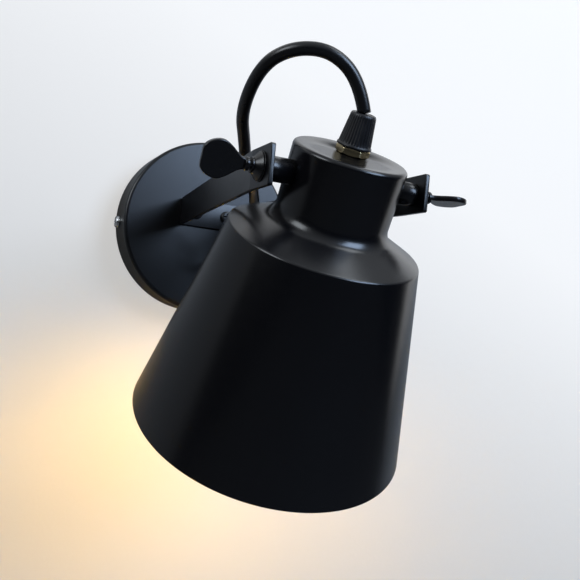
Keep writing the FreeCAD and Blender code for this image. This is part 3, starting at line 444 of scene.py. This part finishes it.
nylon = surface("black_nylon", (0.006, 0.006, 0.008), fleck=0.15, roughness=0.42, spread=0.05,
                grain=0.00035, relief=0.000015)
bush_outline = rounded([
    (3.15, -8.0, 0), (6.0, -8.0, 0.5), (6.0, 0.0, 0), (8.5, 0.0, 0.3), (8.5, 2.5, 0.8), (6.2, 2.5, 0.4),
    (4.8, BUSH_LENGTH, 0.7), (3.15, BUSH_LENGTH, 0),
], steps=4, hold=0.2)[0]
nose = np.linspace(NOSE_START, BUSH_LENGTH - NOSE_TIP, 60)
nose_radius = np.interp(nose, [2.5, BUSH_LENGTH], [6.2, 4.8])
nose_radius -= GROOVE_DEPTH * np.exp(-((nose[:, None] - GROOVE_PLACES) / GROOVE_SPREAD) ** 2).sum(axis=1)
bush_profile = np.vstack([
    bush_outline[bush_outline[:, 1] <= NOSE_START],
    np.stack([nose_radius, nose], axis=-1),
    bush_outline[bush_outline[:, 1] > BUSH_LENGTH - NOSE_TIP],
])
bush = make_piece("bush", turned(bush_profile, 64), "wall_mount", nylon, "cord_bush", loop=True,
                  place=off_wall(BUSH_ACROSS, CANOPY_DEPTH, BUSH_HEIGHT))
dress("cord_bush_nut", nylon)


# ---------------------------------------------------------------------------------------------------
# The terminals behind the canopy. A three pole block of natural polyamide with brass screws, an earth
# screw with its washer in the bar, and the ends of the cord's three insulated leads.

polyamide = surface("polyamide", (0.80, 0.78, 0.72), fleck=0.05, roughness=0.5, grain=0.0006)
brass = surface("brass", (0.92, 0.76, 0.46), fleck=0.1, roughness=0.16, spread=0.04, grain=0.0005,
                relief=0.000004, metal=1.0)
for node in ("terminal_screws", "earth_screw", "earth_washer"):
    dress(node, brass)
dress("terminal_block", polyamide)
dress("block_screw", zinc_plate)
LEAD_COLOURS = {
    "live_lead": (0.16, 0.07, 0.035), "neutral_lead": (0.03, 0.10, 0.38), "earth_lead": (0.16, 0.36, 0.04),
}
for node, colour in LEAD_COLOURS.items():
    dress(node, surface(node + "_sheath", colour, roughness=0.42, grain=0.0008))


# ---------------------------------------------------------------------------------------------------
# The shade. One bell spun from 1.2 mm steel: a flat top, a straight neck, a shoulder and a conical
# skirt with a plain cut mouth. It is coated satin black outside and soft white inside. Only the
# mouth's edge is a little rubbed.

PIVOT = np.array([0.0, -PIVOT_OUT, BRACKET_HEIGHT])
HEAD_TILT = math.radians(26.0)
SHADE_WALL = 1.2
SHADE_TOP = 13.4
TOP_CORNER = 2.0
NECK_RADIUS = 27.5
NECK_FOOT = 20.5
NECK_FILLET = 8.0
SHOULDER_RADIUS = 47.6
SHOULDER_DROP = 29.5
SHOULDER_CORNER = 1.6
MOUTH_RADIUS = 72.4
MOUTH_DROP = 134.0
MOUTH_EDGE = 0.45
TOP_BORE = 5.2
WHITE_INSIDE = (0.78, 0.77, 0.74)


def on_head(points):
    """Takes points about the pivot, with the shade's axis on Z, to where the tilted shade holds them:
    a turn about X by the head's tilt, then a shift to the pivot."""
    c, s = math.cos(HEAD_TILT), math.sin(HEAD_TILT)
    turn = np.array([[1, 0, 0], [0, c, -s], [0, s, c]])
    return points @ turn.T + PIVOT


def head_place(points):
    """The same for a single point given as three numbers."""
    return tuple(on_head(np.array(points, float)))


def wall_corner(before, here, after, wall):
    """The inner corner of a wall of even thickness: from the outer corner by the wall along the sum of
    the two sides' inward normals, over 1 plus their product."""
    sides = [np.subtract(here, before), np.subtract(after, here)]
    inward = [np.array([side[1], -side[0]]) / np.linalg.norm(side) for side in sides]
    return here + wall * (inward[0] + inward[1]) / (1 + inward[0] @ inward[1])


top_centre = (TOP_BORE, SHADE_TOP)
top_edge = (NECK_RADIUS, SHADE_TOP)
neck_foot = (NECK_RADIUS, -NECK_FOOT)
shoulder = (SHOULDER_RADIUS, -SHOULDER_DROP)
mouth = (MOUTH_RADIUS, -MOUTH_DROP)
skirt_slope = math.atan2(MOUTH_RADIUS - SHOULDER_RADIUS, MOUTH_DROP - SHOULDER_DROP)
inner_top = wall_corner(top_centre, top_edge, neck_foot, SHADE_WALL)
inner_foot = wall_corner(top_edge, neck_foot, shoulder, SHADE_WALL)
inner_shoulder = wall_corner(neck_foot, shoulder, mouth, SHADE_WALL)
inner_mouth = (MOUTH_RADIUS - SHADE_WALL / math.cos(skirt_slope), -MOUTH_DROP)
outer_line, outer_edge = rounded([
    (*top_centre, 0), (*top_edge, TOP_CORNER), (*neck_foot, NECK_FILLET), (*shoulder, SHOULDER_CORNER),
    (*mouth, MOUTH_EDGE), (*inner_mouth, MOUTH_EDGE), (*inner_shoulder, 0.6),
    (*inner_foot, NECK_FILLET + SHADE_WALL), (*inner_top, TOP_CORNER - SHADE_WALL),
    (TOP_BORE, SHADE_TOP - SHADE_WALL, 0),
], steps=9)
lowest = int(np.argmin(outer_line[:, 1] * 1000 + outer_line[:, 0]))
inside = (np.arange(len(outer_line)) >= lowest).astype(float)

shade_coat = surface("shade_coat", BLACK, fleck=0.12, roughness=0.23, spread=0.01, grain=0.0007,
                     relief=0.000003, worn=RUBBED, wear=0.6)
shade_nodes = shade_coat.node_tree.nodes
shade_link = shade_coat.node_tree.links.new
shade_shader = shade_nodes["Principled BSDF"]
inner_side = shade_nodes.new("ShaderNodeAttribute")
inner_side.attribute_name = "inside"
two_sides = shade_nodes.new("ShaderNodeMix")
two_sides.data_type = "RGBA"
two_sides.inputs["B"].default_value = (*WHITE_INSIDE, 1)
shade_link(inner_side.outputs["Fac"], two_sides.inputs["Factor"])
shade_link(shade_shader.inputs["Base Color"].links[0].from_socket, two_sides.inputs["A"])
shade_link(two_sides.outputs["Result"], shade_shader.inputs["Base Color"])
at_mouth = (outer_line[:, 1] < -MOUTH_DROP + 2.0).astype(float)
shade = make_piece("shade", turned(outer_line, 256), "lamp_head", shade_coat, "shade_shell",
                   outer_edge * at_mouth * (1 - inside), inside, loop=True, place=on_head)


# ---------------------------------------------------------------------------------------------------
# The pivot studs. Turned steel bosses on the neck, black like the rest. Each has a spigot through the
# neck's wall, spread inside, and a tapped hole for its thumb screw.

STUD_RADIUS = 5.7
STUD_END = 39.5

fitting_coat = surface("fitting_coat", (0.004, 0.004, 0.005), fleck=0.2, roughness=0.25, spread=0.03,
                       grain=0.0005, relief=0.000006, worn=RUBBED, wear=0.8)
stud_profile, stud_edge = rounded([
    (2.08, 25.03, 0), (4.4, 25.03, 0.3), (4.4, 25.93, 0.2), (3.2, 25.93, 0), (3.2, 26.6, 0),
    (STUD_RADIUS, 26.6, 0), (STUD_RADIUS, STUD_END, 0.5), (2.08, STUD_END, 0),
], steps=5, hold=0.3)


def across_head(side):
    """Places points whose own Z axis is the pivot's: to the right for side 1, to the left for -1."""
    def place(points):
        x, y, z = points.T
        return on_head(np.stack([side * z, side * x, y], axis=-1))
    return place


for side, label in ((-1, "left"), (1, "right")):
    stud = make_piece("stud_" + label, turned(stud_profile, 64), "lamp_head", fitting_coat, "pivot_studs",
                      stud_edge, loop=True, place=across_head(side))


# ---------------------------------------------------------------------------------------------------
# The thumb screws. Each clamps its stud against the bracket's tab with a turned stem and a flat fan
# shaped paddle for the fingers, over a conical washer and a thin flat one.

STEM_TIP = 28.6
FLAT_START = TAB_HALF + 0.1
BELL_START = FLAT_START + 0.6
RING_START = BELL_START + 3.2
GROOVE_START = RING_START + 1.2
BEAD_START = GROOVE_START + 0.7
COLLAR = BEAD_START + 2.2
PADDLE_THICK = 2.7
PADDLE_EDGE = 0.75
PADDLE_TILTS = {"left": math.radians(26.0), "right": math.radians(88.0)}
RINGS_INSIDE_EDGE = 5

stem_profile, stem_edge = rounded([
    (0.6, STEM_TIP, 0), (2.0, STEM_TIP, 0.4), (2.0, RING_START, 0), (3.6, RING_START, 0.35),
    (3.6, GROOVE_START, 0.35), (2.3, GROOVE_START, 0.2), (2.3, BEAD_START, 0.2), (3.1, BEAD_START, 0.5),
    (3.1, COLLAR, 0.9), (0.6, COLLAR, 0),
], steps=5, hold=0.15)
flat_profile, flat_edge = rounded([
    (2.1, FLAT_START, 0), (7.0, FLAT_START, 0.12), (7.0, BELL_START, 0.25), (2.1, BELL_START, 0),
], steps=4, hold=0.3)
bell_profile, bell_edge = rounded([
    (2.1, BELL_START, 0), (6.6, BELL_START, 0.12), (6.6, BELL_START + 0.6, 0.3), (3.4, RING_START, 0.3),
    (2.1, RING_START, 0),
], steps=5, hold=0.2)
PADDLE_OUTLINE = [
    (-1.1, 0.0), (-1.1, 2.5), (0.6, 2.6), (2.8, 3.6), (6.4, 6.6), (9.8, 8.6), (12.8, 8.9), (16.4, 7.7),
    (18.9, 5.6), (19.5, 3.4), (19.4, 0.0),
]


def fan_outline(corners, steps=12):
    """The paddle's outline: the quadratic spline whose control points are the corners of one half and
    their mirror images. Each stretch runs (1 - u)^2 A + 2 u (1 - u) B + u^2 C, from the middle of one
    side to the middle of the next about the corner B."""
    half = np.array(corners, float)
    mirrored = half[-2:0:-1] * (1, -1)
    corner = np.vstack([half, mirrored])
    begin = (np.roll(corner, 1, axis=0) + corner) / 2
    end = (corner + np.roll(corner, -1, axis=0)) / 2
    u = np.linspace(0, 1, steps, endpoint=False)[None, :, None]
    curve = (1 - u) ** 2 * begin[:, None] + 2 * u * (1 - u) * corner[:, None] + u ** 2 * end[:, None]
    return curve.reshape(-1, 2)


def slab(outline, thick, edge_radius):
    """Rings of a flat plate of any smooth outline with its edge rounded. Ring by ring the outline is
    drawn in along its own normal by e (1 - cos a) and stands at thick / 2 - e (1 - sin a), and then
    shrinks flat towards the middle."""
    along = np.roll(outline, -1, axis=0) - np.roll(outline, 1, axis=0)
    normal = np.stack([along[:, 1], -along[:, 0]], axis=-1) / np.linalg.norm(along, axis=1)[:, None]
    centre = outline.mean(axis=0)
    if ((outline - centre) * normal).sum() < 0:
        normal = -normal
    angle = np.linspace(np.pi / 2, 0, 6)
    drawn_in = outline[None] - normal[None] * (edge_radius * (1 - np.cos(angle)))[:, None, None]
    height = thick / 2 - edge_radius * (1 - np.sin(angle))
    face = centre + (drawn_in[0] - centre) * np.array([0.3, 0.7, 0.92])[:, None, None]
    half = np.vstack([face, drawn_in])
    half_height = np.concatenate([[thick / 2] * 3, height])
    top = np.concatenate([half, np.broadcast_to(half_height[:, None, None], (*half.shape[:2], 1))], axis=-1)
    return np.concatenate([top, top[-2::-1] * (1, 1, -1)])


paddle_rings = slab(fan_outline(PADDLE_OUTLINE), PADDLE_THICK, PADDLE_EDGE)
paddle_edge = np.zeros(len(paddle_rings))
paddle_edge[RINGS_INSIDE_EDGE:-RINGS_INSIDE_EDGE] = 1.0


def screw_place(side, tilt, paddle=False):
    """Places a thumb screw's pieces about the pivot's axis, turned by its own tilt. Turned pieces have
    that axis as their Z, and the paddle has it as its X, measured from the stem's collar."""
    c, s = math.cos(tilt), math.sin(tilt)

    def place(points):
        x, y, z = points.T
        if paddle:
            x, y, z = z, y, COLLAR + x
        out, high = side * x, y
        return np.stack([side * z, out * c - high * s, out * s + high * c], axis=-1) + PIVOT
    return place


def join(pieces, node):
    """Makes one object of several closed meshes that belong to one part, and lets it stand for the node."""
    with bpy.context.temp_override(active_object=pieces[0], selected_editable_objects=pieces):
        bpy.ops.object.join()
    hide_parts(node)
    return pieces[0]


for side, label in ((-1, "left"), (1, "right")):
    body = label + "_clamp"
    tilt = PADDLE_TILTS[label]
    stem = make_piece(label + "_screw", turned(stem_profile, 64), body, fitting_coat, edge=stem_edge,
                      place=screw_place(side, tilt))
    paddle = make_piece(label + "_paddle", paddle_rings, body, fitting_coat, edge=paddle_edge,
                        place=screw_place(side, tilt, paddle=True))
    join([stem, paddle], label + "_thumb_screw")
    for kind, profile, edge, slot in (("flat", flat_profile, flat_edge, "black_washer"),
                                      ("bell", bell_profile, bell_edge, "black_fittings")):
        ring = make_piece("%s_%s_ring" % (label, kind), turned(profile, 72), body, fitting_coat,
                          "%s_%s_washer" % (label, kind), edge, loop=True, place=screw_place(side, tilt))


# ---------------------------------------------------------------------------------------------------
# The nipple, its nut and lock washer. A hollow M10 thread holds the lampholder inside, and a plain
# hexagonal nut on top of the shade clamps the stack. The nut is brass with a dull skin.

NUT_FLATS = 14.0
NUT_THICK = 3.6

dress("threaded_nipple", zinc_plate)
dress("lock_washer", zinc_plate)


def hexagon_nut(flats, thick, bore):
    """Rings of a hexagonal nut with chamfered corners. The radius at an angle t is the lesser of the
    hexagon's, half the flats over cos of the angle from the nearest flat, and a cone's that takes
    30 degrees off the corners at each face."""
    t = np.linspace(0, 2 * np.pi, 180, endpoint=False)
    from_flat = np.mod(t + np.pi / 6, np.pi / 3) - np.pi / 6
    prism = flats / 2 / np.cos(from_flat)
    height = np.concatenate([[0, 0], np.linspace(0, 1.4, 9), np.linspace(thick - 1.4, thick, 9),
                             [thick, thick, thick - 0.5, 0.5]])
    cone = flats / 2 * 0.985 + np.minimum(height, thick - height) / math.tan(math.radians(30))
    radius = np.minimum(prism[None], cone[:, None])
    radius[[0, -1]] = bore
    radius[1] = bore + 0.4
    radius[-4] = radius[-5] * 0.9
    radius[-3] = bore + 0.4
    radius[-2] = bore
    return np.stack([radius * np.cos(t), radius * np.sin(t), height[:, None] + 0 * t], axis=-1)


nut_rings = hexagon_nut(NUT_FLATS, NUT_THICK, 5.05) + (0, 0, SHADE_TOP)
nut = make_piece("clamp_nut", nut_rings, "lamp_head", brass, "top_nut", loop=True, place=on_head)


# ---------------------------------------------------------------------------------------------------
# The cord grip. A tapered cap of black nylon with fine ribs for the fingers, screwed down on the
# nipple. It squeezes a split collet round the cord.

GRIP_FOOT = SHADE_TOP + NUT_THICK
GRIP_HEIGHT = 15.5
GRIP_RIBS = 32


def ribbed_cap(foot, height, ribs):
    """Rings of a tapered cap with ribs. Outside, the radius falls from 7.75 to 5.85 mm. It dips by
    0.28 mm times the square of (1 + cos(ribs x angle)) / 2, between a plain lip below and a rounded nose
    above, where the ribs fade out."""
    t = np.linspace(0, 2 * np.pi, ribs * 10, endpoint=False)
    rise = np.concatenate([[0, 0, 0.25, 0.9, 1.2, 1.35], np.linspace(1.6, height - 1.5, 12),
                           [height - 1.1, height - 0.7, height - 0.35, height - 0.1, height]])
    plain = np.interp(rise, [1.2, height], [7.75, 5.85])
    plain[:5] = [7.0, 8.0, 8.2, 8.2, 8.0]
    plain[-4:] = [5.8, 5.65, 5.35, 4.9]
    depth = 0.28 * np.clip((rise - 1.35) / 0.5, 0, 1) * np.clip((height - 0.7 - rise) / 1.2, 0, 1)
    outer = plain[:, None] - depth[:, None] * (0.5 + 0.5 * np.cos(ribs * t)) ** 2
    bore_rise = np.array([height - 0.2, height - 2.5, height - 2.5, 6.5, 6.5, 0.0])
    bore = np.array([3.3, 3.26, 4.55, 4.55, 5.05, 5.05])[:, None] + 0 * t
    radius = np.vstack([outer, bore])
    level = foot + np.concatenate([rise, bore_rise])
    return np.stack([radius * np.cos(t), radius * np.sin(t), level[:, None] + 0 * t], axis=-1)


grip = make_piece("grip", ribbed_cap(GRIP_FOOT, GRIP_HEIGHT, GRIP_RIBS), "lamp_head", nylon, "cord_grip",
                  loop=True, place=on_head)
dress("grip_collet", nylon)


# ---------------------------------------------------------------------------------------------------
# The lampholder. Two ribbed mouldings of black phenolic, screwed together round a white ceramic
# insert that holds the brass screw shell, the centre contact and the terminals.

HOLDER_RADIUS = 20.0
HOLDER_TOP = SHADE_TOP - SHADE_WALL - 0.8
HOLDER_JOINT = HOLDER_TOP - 21.5
HOLDER_FOOT = HOLDER_JOINT - 30.0
INSERT_LOW = HOLDER_JOINT - 2.0

phenolic = surface("phenolic", (0.018, 0.017, 0.016), fleck=0.2, roughness=0.27, spread=0.05, grain=0.001,
                   relief=0.00002)
ceramic = surface("ceramic", (0.80, 0.79, 0.75), fleck=0.04, roughness=0.3, grain=0.001)
cap_profile, cap_edge = rounded([
    (5.05, HOLDER_TOP, 0), (HOLDER_RADIUS, HOLDER_TOP, 3.0), (HOLDER_RADIUS, HOLDER_JOINT, 0.3),
    (18.2, HOLDER_JOINT, 0), (18.2, HOLDER_TOP - 5.0, 1.5), (5.05, HOLDER_TOP - 5.0, 0),
], steps=6)
holder_cap = make_piece("holder_top", turned(cap_profile, 96), "lamp_head", phenolic, "holder_cap",
                        cap_edge, loop=True, place=on_head)
skirt_profile, skirt_edge = rounded([
    (18.2, HOLDER_JOINT, 0), (HOLDER_RADIUS, HOLDER_JOINT, 0.3), (HOLDER_RADIUS, HOLDER_FOOT, 0.8),
    (18.2, HOLDER_FOOT, 0.6), (18.2, HOLDER_JOINT, 0),
], steps=5)
holder_skirt = make_piece("holder_ring", turned(skirt_profile[:-1], 96), "lamp_head", phenolic,
                          "holder_skirt", skirt_edge[:-1], loop=True, place=on_head)
dress("holder_insert", ceramic)
dress("centre_contact", brass)
dress("holder_terminal_screws", brass)
dress("holder_leads", surface("holder_lead_sheath", LEAD_COLOURS["live_lead"], roughness=0.42,
                              grain=0.0008))


def thread_tube(outer, wall, high, low, pitch, depth, steps=72):
    """Rings of a thin tube pressed into a round thread: the radius wanders by the depth with the sine
    of the height over the pitch plus the angle, so that the ridge climbs one pitch each turn, and the
    thread fades out over 2 mm at both ends."""
    t = np.linspace(0, 2 * np.pi, steps, endpoint=False)
    level = np.linspace(high, low, int((high - low) / pitch * 10) + 1)[:, None]
    fade = np.clip((high - level) / 2, 0, 1) * np.clip((level - low) / 2, 0, 1)
    wave = depth / 2 * fade * (np.sin(2 * np.pi * level / pitch + t) - 1)
    outside = outer + wave
    radius = np.vstack([outside, outside[::-1] - wall])
    height = np.vstack([level, level[::-1]])
    return np.stack([radius * np.cos(t), radius * np.sin(t), height + 0 * t], axis=-1)


shell = make_piece("thread_shell", thread_tube(13.9, 0.4, INSERT_LOW, INSERT_LOW - 22.0, 3.6, 0.4),
                   "lamp_head", brass, "screw_shell", loop=True, place=on_head)


# ---------------------------------------------------------------------------------------------------
# The bulb. A 60 mm opal globe with a 27 mm aluminium screw cap. It is lit, and its warm light falls
# out of the mouth onto the wall.

BULB_TIP = INSERT_LOW - 2.5
CAP_TOP = BULB_TIP - 0.5
CAP_LOW = CAP_TOP - 24.0
GLOBE_RADIUS = 30.0
GLOBE_CENTRE = BULB_TIP - 105.0 + GLOBE_RADIUS

aluminium = surface("aluminium", (0.76, 0.76, 0.77), fleck=0.06, roughness=0.28, spread=0.06, metal=1.0)
cap = make_piece("thread_cap", thread_tube(13.1, 0.4, CAP_TOP, CAP_LOW, 3.6, 0.5), "lamp_head", aluminium,
                 "bulb_cap", loop=True, place=on_head)
dress("bulb_tip", surface("solder", (0.55, 0.55, 0.56), roughness=0.4, metal=1.0))
dress("bulb_insulator", surface("cap_glass", (0.02, 0.015, 0.02), roughness=0.15, spread=0.03))

opal = surface("opal_glass", (0.90, 0.86, 0.78), fleck=0.03, roughness=0.22, spread=0.04, grain=0.002)
opal_shader = opal.node_tree.nodes["Principled BSDF"]
opal_shader.inputs["Emission Color"].default_value = (1.0, 0.60, 0.12, 1)
opal_shader.inputs["Emission Strength"].default_value = 44.0
throat_angle = np.linspace(0.0, math.radians(142), 44)
ball = np.stack([GLOBE_RADIUS * np.sin(throat_angle), GLOBE_CENTRE - GLOBE_RADIUS * np.cos(throat_angle)],
                axis=-1)[1:]
blend_share = np.linspace(0, 1, 12)[1:, None]
neck_end = np.array([12.6, CAP_LOW - 0.1])
swell = ball[-1] + (ball[-1] - ball[-2]) / np.linalg.norm(ball[-1] - ball[-2]) * 8.0
neck_hold = neck_end + (0, -9.0)
throat = ((1 - blend_share) ** 3 * ball[-1] + 3 * blend_share * (1 - blend_share) ** 2 * swell
          + 3 * blend_share ** 2 * (1 - blend_share) * neck_hold + blend_share ** 3 * neck_end)
globe_line = np.vstack([ball, throat, [[12.6, CAP_LOW + 3.0], [11.6, CAP_LOW + 3.0]]])
globe = make_piece("opal_globe", turned(globe_line, 96), "lamp_head", opal, "bulb_globe", place=on_head)


# ---------------------------------------------------------------------------------------------------
# The cord. A round black cable, 6.2 mm thick. From the grip it loops up and to the left, over the
# left arm and down between the arms to the bush. Its two ends go on inside the grip and the canopy.

GRIP_MOUTH = head_place((0, 0, GRIP_FOOT + GRIP_HEIGHT))
BUSH_TIP = (BUSH_ACROSS, -(CANOPY_DEPTH + BUSH_LENGTH), BUSH_HEIGHT)
CORD_RADIUS = 3.1
CORD_POINTS = [
    GRIP_MOUTH, (-5.0, -231.5, 50.5), (-19.5, -231.0, 61.0), (-35.0, -224.0, 61.0), (-44.0, -210.0, 55.0),
    (-43.5, -188.0, 39.5), (-34.0, -171.5, 28.5), (-27.0, -157.5, 20.5), (-18.0, -140.0, 17.5),
    (-7.0, -120.0, 19.0), (1.5, -104.5, 10.5), (7.5, -91.0, -2.5), (9.0, -76.5, -15.0),
    (10.0, -60.5, -22.0), BUSH_TIP,
]
line = bpy.data.curves.new("cord_line", "CURVE")
line.dimensions = "3D"
line.resolution_u = 16
spline = line.splines.new("NURBS")
spline.points.add(len(CORD_POINTS) - 1)
in_metres = np.hstack([np.array(CORD_POINTS) * MM, np.ones((len(CORD_POINTS), 1))])
spline.points.foreach_set("co", in_metres.ravel())
spline.order_u = 3
spline.use_endpoint_u = True
line_object = bpy.data.objects.new("cord_line", line)
bpy.context.scene.collection.objects.link(line_object)
bpy.context.view_layer.update()
line_mesh = bpy.data.meshes.new_from_object(line_object)
centres = np.zeros(len(line_mesh.vertices) * 3)
line_mesh.vertices.foreach_get("co", centres)
centres = centres.reshape(-1, 3) / MM
bpy.data.objects.remove(line_object)


def tube_rings(points, radius, steps=24):
    """Rings of a round tube along a line of points. Each ring is square to the line there. Its two
    directions come from the one direction that the whole line leans to least, the smallest axis of
    its directions' spread, so that the rings don't twist."""
    along = np.gradient(points, axis=0)
    along /= np.linalg.norm(along, axis=1)[:, None]
    steady = np.linalg.svd(along, full_matrices=False)[2][-1]
    first = np.cross(along, steady)
    first /= np.linalg.norm(first, axis=1)[:, None]
    second = np.cross(along, first)
    t = np.linspace(0, 2 * np.pi, steps, endpoint=False)
    circle = np.cos(t)[None, :, None] * first[:, None] + np.sin(t)[None, :, None] * second[:, None]
    return points[:, None] + radius * circle


sheath = surface("cord_sheath", (0.005, 0.005, 0.006), fleck=0.18, roughness=0.3, spread=0.04,
                 grain=0.0009, relief=0.00001)
cord = make_piece("cord", tube_rings(centres, CORD_RADIUS), None, sheath)
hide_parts("lamp_cord")
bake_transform(cord)
dress("cord_tail_head", sheath)
dress("cord_tail_wall", sheath)


# ---------------------------------------------------------------------------------------------------
# The room for the picture: a grey wall behind the light and a dark floor far below it. The wall is made
# pale by a painted glow that only the camera and reflections see, darker towards the lower left as
# painted shade. Soft light comes from a window on the left, a small lamp on the ceiling and a bluish
# window across the room to the right. The sky is dark at the horizon and pale overhead.

def one_sided(name, colour):
    """A plain finish that shows only from the front of its faces, so that the light can be seen from
    behind the wall and from below the floor."""
    material = surface(name, colour, fleck=0.01, roughness=0.8, spread=0.03, grain=0.003, relief=0.00005)
    nodes = material.node_tree.nodes
    link = material.node_tree.links.new
    shader = nodes["Principled BSDF"]
    clear = nodes.new("ShaderNodeBsdfTransparent")
    side = nodes.new("ShaderNodeNewGeometry")
    choose = nodes.new("ShaderNodeMixShader")
    link(side.outputs["Backfacing"], choose.inputs["Fac"])
    link(shader.outputs["BSDF"], choose.inputs[1])
    link(clear.outputs["BSDF"], choose.inputs[2])
    link(choose.outputs["Shader"], nodes["Material Output"].inputs["Surface"])
    return material


def paint_daylight_glow(material, colour, seen, mirrored):
    """Paints a glow onto a wall that only the camera and reflections see. It is painted light that stands
    in for the wall's lighting. Each of 'seen' and 'mirrored' holds two heights in metres and the wall's
    added brightness at them, with a straight ramp between. The height counts 0.4 of the distance to the
    right too, so that the lower left is the darkest, as painted shade. The brightness is seen x Is Camera
    Ray + mirrored x Is Glossy Ray, the second a painted reflection."""
    nodes = material.node_tree.nodes
    link = material.node_tree.links.new
    where = nodes.new("ShaderNodeTexCoord")
    height = nodes.new("ShaderNodeVectorMath")
    height.operation = "DOT_PRODUCT"
    height.inputs[1].default_value = (0.4, 0.0, 1.0)
    link(where.outputs["Object"], height.inputs[0])
    ray = nodes.new("ShaderNodeLightPath")
    total = nodes.new("ShaderNodeMath")
    total.operation = "ADD"
    for k, (kind, ramp) in enumerate((("Is Camera Ray", seen), ("Is Glossy Ray", mirrored))):
        level = nodes.new("ShaderNodeMapRange")
        for label, value in zip(("From Min", "From Max", "To Min", "To Max"), ramp):
            level.inputs[label].default_value = value
        chosen = nodes.new("ShaderNodeMath")
        chosen.operation = "MULTIPLY"
        link(height.outputs["Value"], level.inputs["Value"])
        link(level.outputs["Result"], chosen.inputs[0])
        link(ray.outputs[kind], chosen.inputs[1])
        link(chosen.outputs["Value"], total.inputs[k])
    shader = nodes["Principled BSDF"]
    shader.inputs["Emission Color"].default_value = (*colour, 1)
    link(total.outputs["Value"], shader.inputs["Emission Strength"])
    return material


def sheet(name, corners, material):
    """A flat backdrop with four corners in metres, its face to the side from which they run
    anticlockwise."""
    mesh = bpy.data.meshes.new(name)
    mesh.from_pydata(corners, [], [(0, 1, 2, 3)])
    mesh.materials.append(material)
    plane = bpy.data.objects.new(name, mesh)
    bpy.context.scene.collection.objects.link(plane)


WALL_PLANE = 0.0006
WALL_TOP = 0.6
ROOM_HALF = 2.5
ROOM_FRONT = -3.0
FLOOR = -0.9
# The wall's paleness, and its darkening towards the lower left, are painted light and shade: a glow for the
# camera and for reflections, on grey paint.
wall_paint_and_painted_glow = paint_daylight_glow(one_sided("wall_paint_and_painted_glow", (0.38, 0.36, 0.335)), (1.0, 0.99, 0.975),
                      seen=(-0.35, 0.16, 0.24, 0.66), mirrored=(0.10, 0.30, 0.0, 0.80))
sheet("wall", [
    (-ROOM_HALF, WALL_PLANE, FLOOR), (ROOM_HALF, WALL_PLANE, FLOOR),
    (ROOM_HALF, WALL_PLANE, WALL_TOP), (-ROOM_HALF, WALL_PLANE, WALL_TOP),
], wall_paint_and_painted_glow)
sheet("floor", [
    (-ROOM_HALF, WALL_PLANE, FLOOR), (-ROOM_HALF, ROOM_FRONT, FLOOR),
    (ROOM_HALF, ROOM_FRONT, FLOOR), (ROOM_HALF, WALL_PLANE, FLOOR),
], one_sided("floor_paint", (0.08, 0.08, 0.08)))


def softbox(name, place, target, size, power, colour):
    """A square soft light of that size in metres, aimed at a point."""
    lamp = bpy.data.lights.new(name, "AREA")
    lamp.shape = "SQUARE"
    lamp.size = size
    lamp.energy = power
    lamp.color = colour
    holder = bpy.data.objects.new(name, lamp)
    holder.matrix_world = (Vector(target) - Vector(place)).to_track_quat("-Z", "Y").to_matrix().to_4x4()
    holder.matrix_world.translation = Vector(place)
    bpy.context.scene.collection.objects.link(holder)


softbox("window", (-1.7, -0.7, 0.9), (0, -0.15, 0), 0.9, 14.0, (0.88, 0.94, 1.0))
softbox("ceiling", (0.42, -0.62, 0.95), (0.0, -0.2, 0), 0.4, 2.0, (0.86, 0.93, 1.0))
softbox("far_window", (0.74, -1.5, 0.70), (0, -0.1, 0.03), 0.8, 22.0, (0.55, 0.72, 1.0))
world = bpy.data.worlds.new("room_light")
bpy.context.scene.world = world
world.use_nodes = True
world_nodes = world.node_tree.nodes
world_link = world.node_tree.links.new
direction = world_nodes.new("ShaderNodeTexCoord")
rise = world_nodes.new("ShaderNodeSeparateXYZ")
sky = world_nodes.new("ShaderNodeMapRange")
for label, value in (("From Min", 0.05), ("From Max", 0.95), ("To Min", 0.015), ("To Max", 0.6)):
    sky.inputs[label].default_value = value
world_link(direction.outputs["Generated"], rise.inputs["Vector"])
world_link(rise.outputs["Z"], sky.inputs["Value"])
world_link(sky.outputs["Result"], world_nodes["Background"].inputs["Strength"])
world_nodes["Background"].inputs["Color"].default_value = (0.90, 0.95, 1.0, 1)
bpy.context.scene.view_settings.view_transform = "Standard"
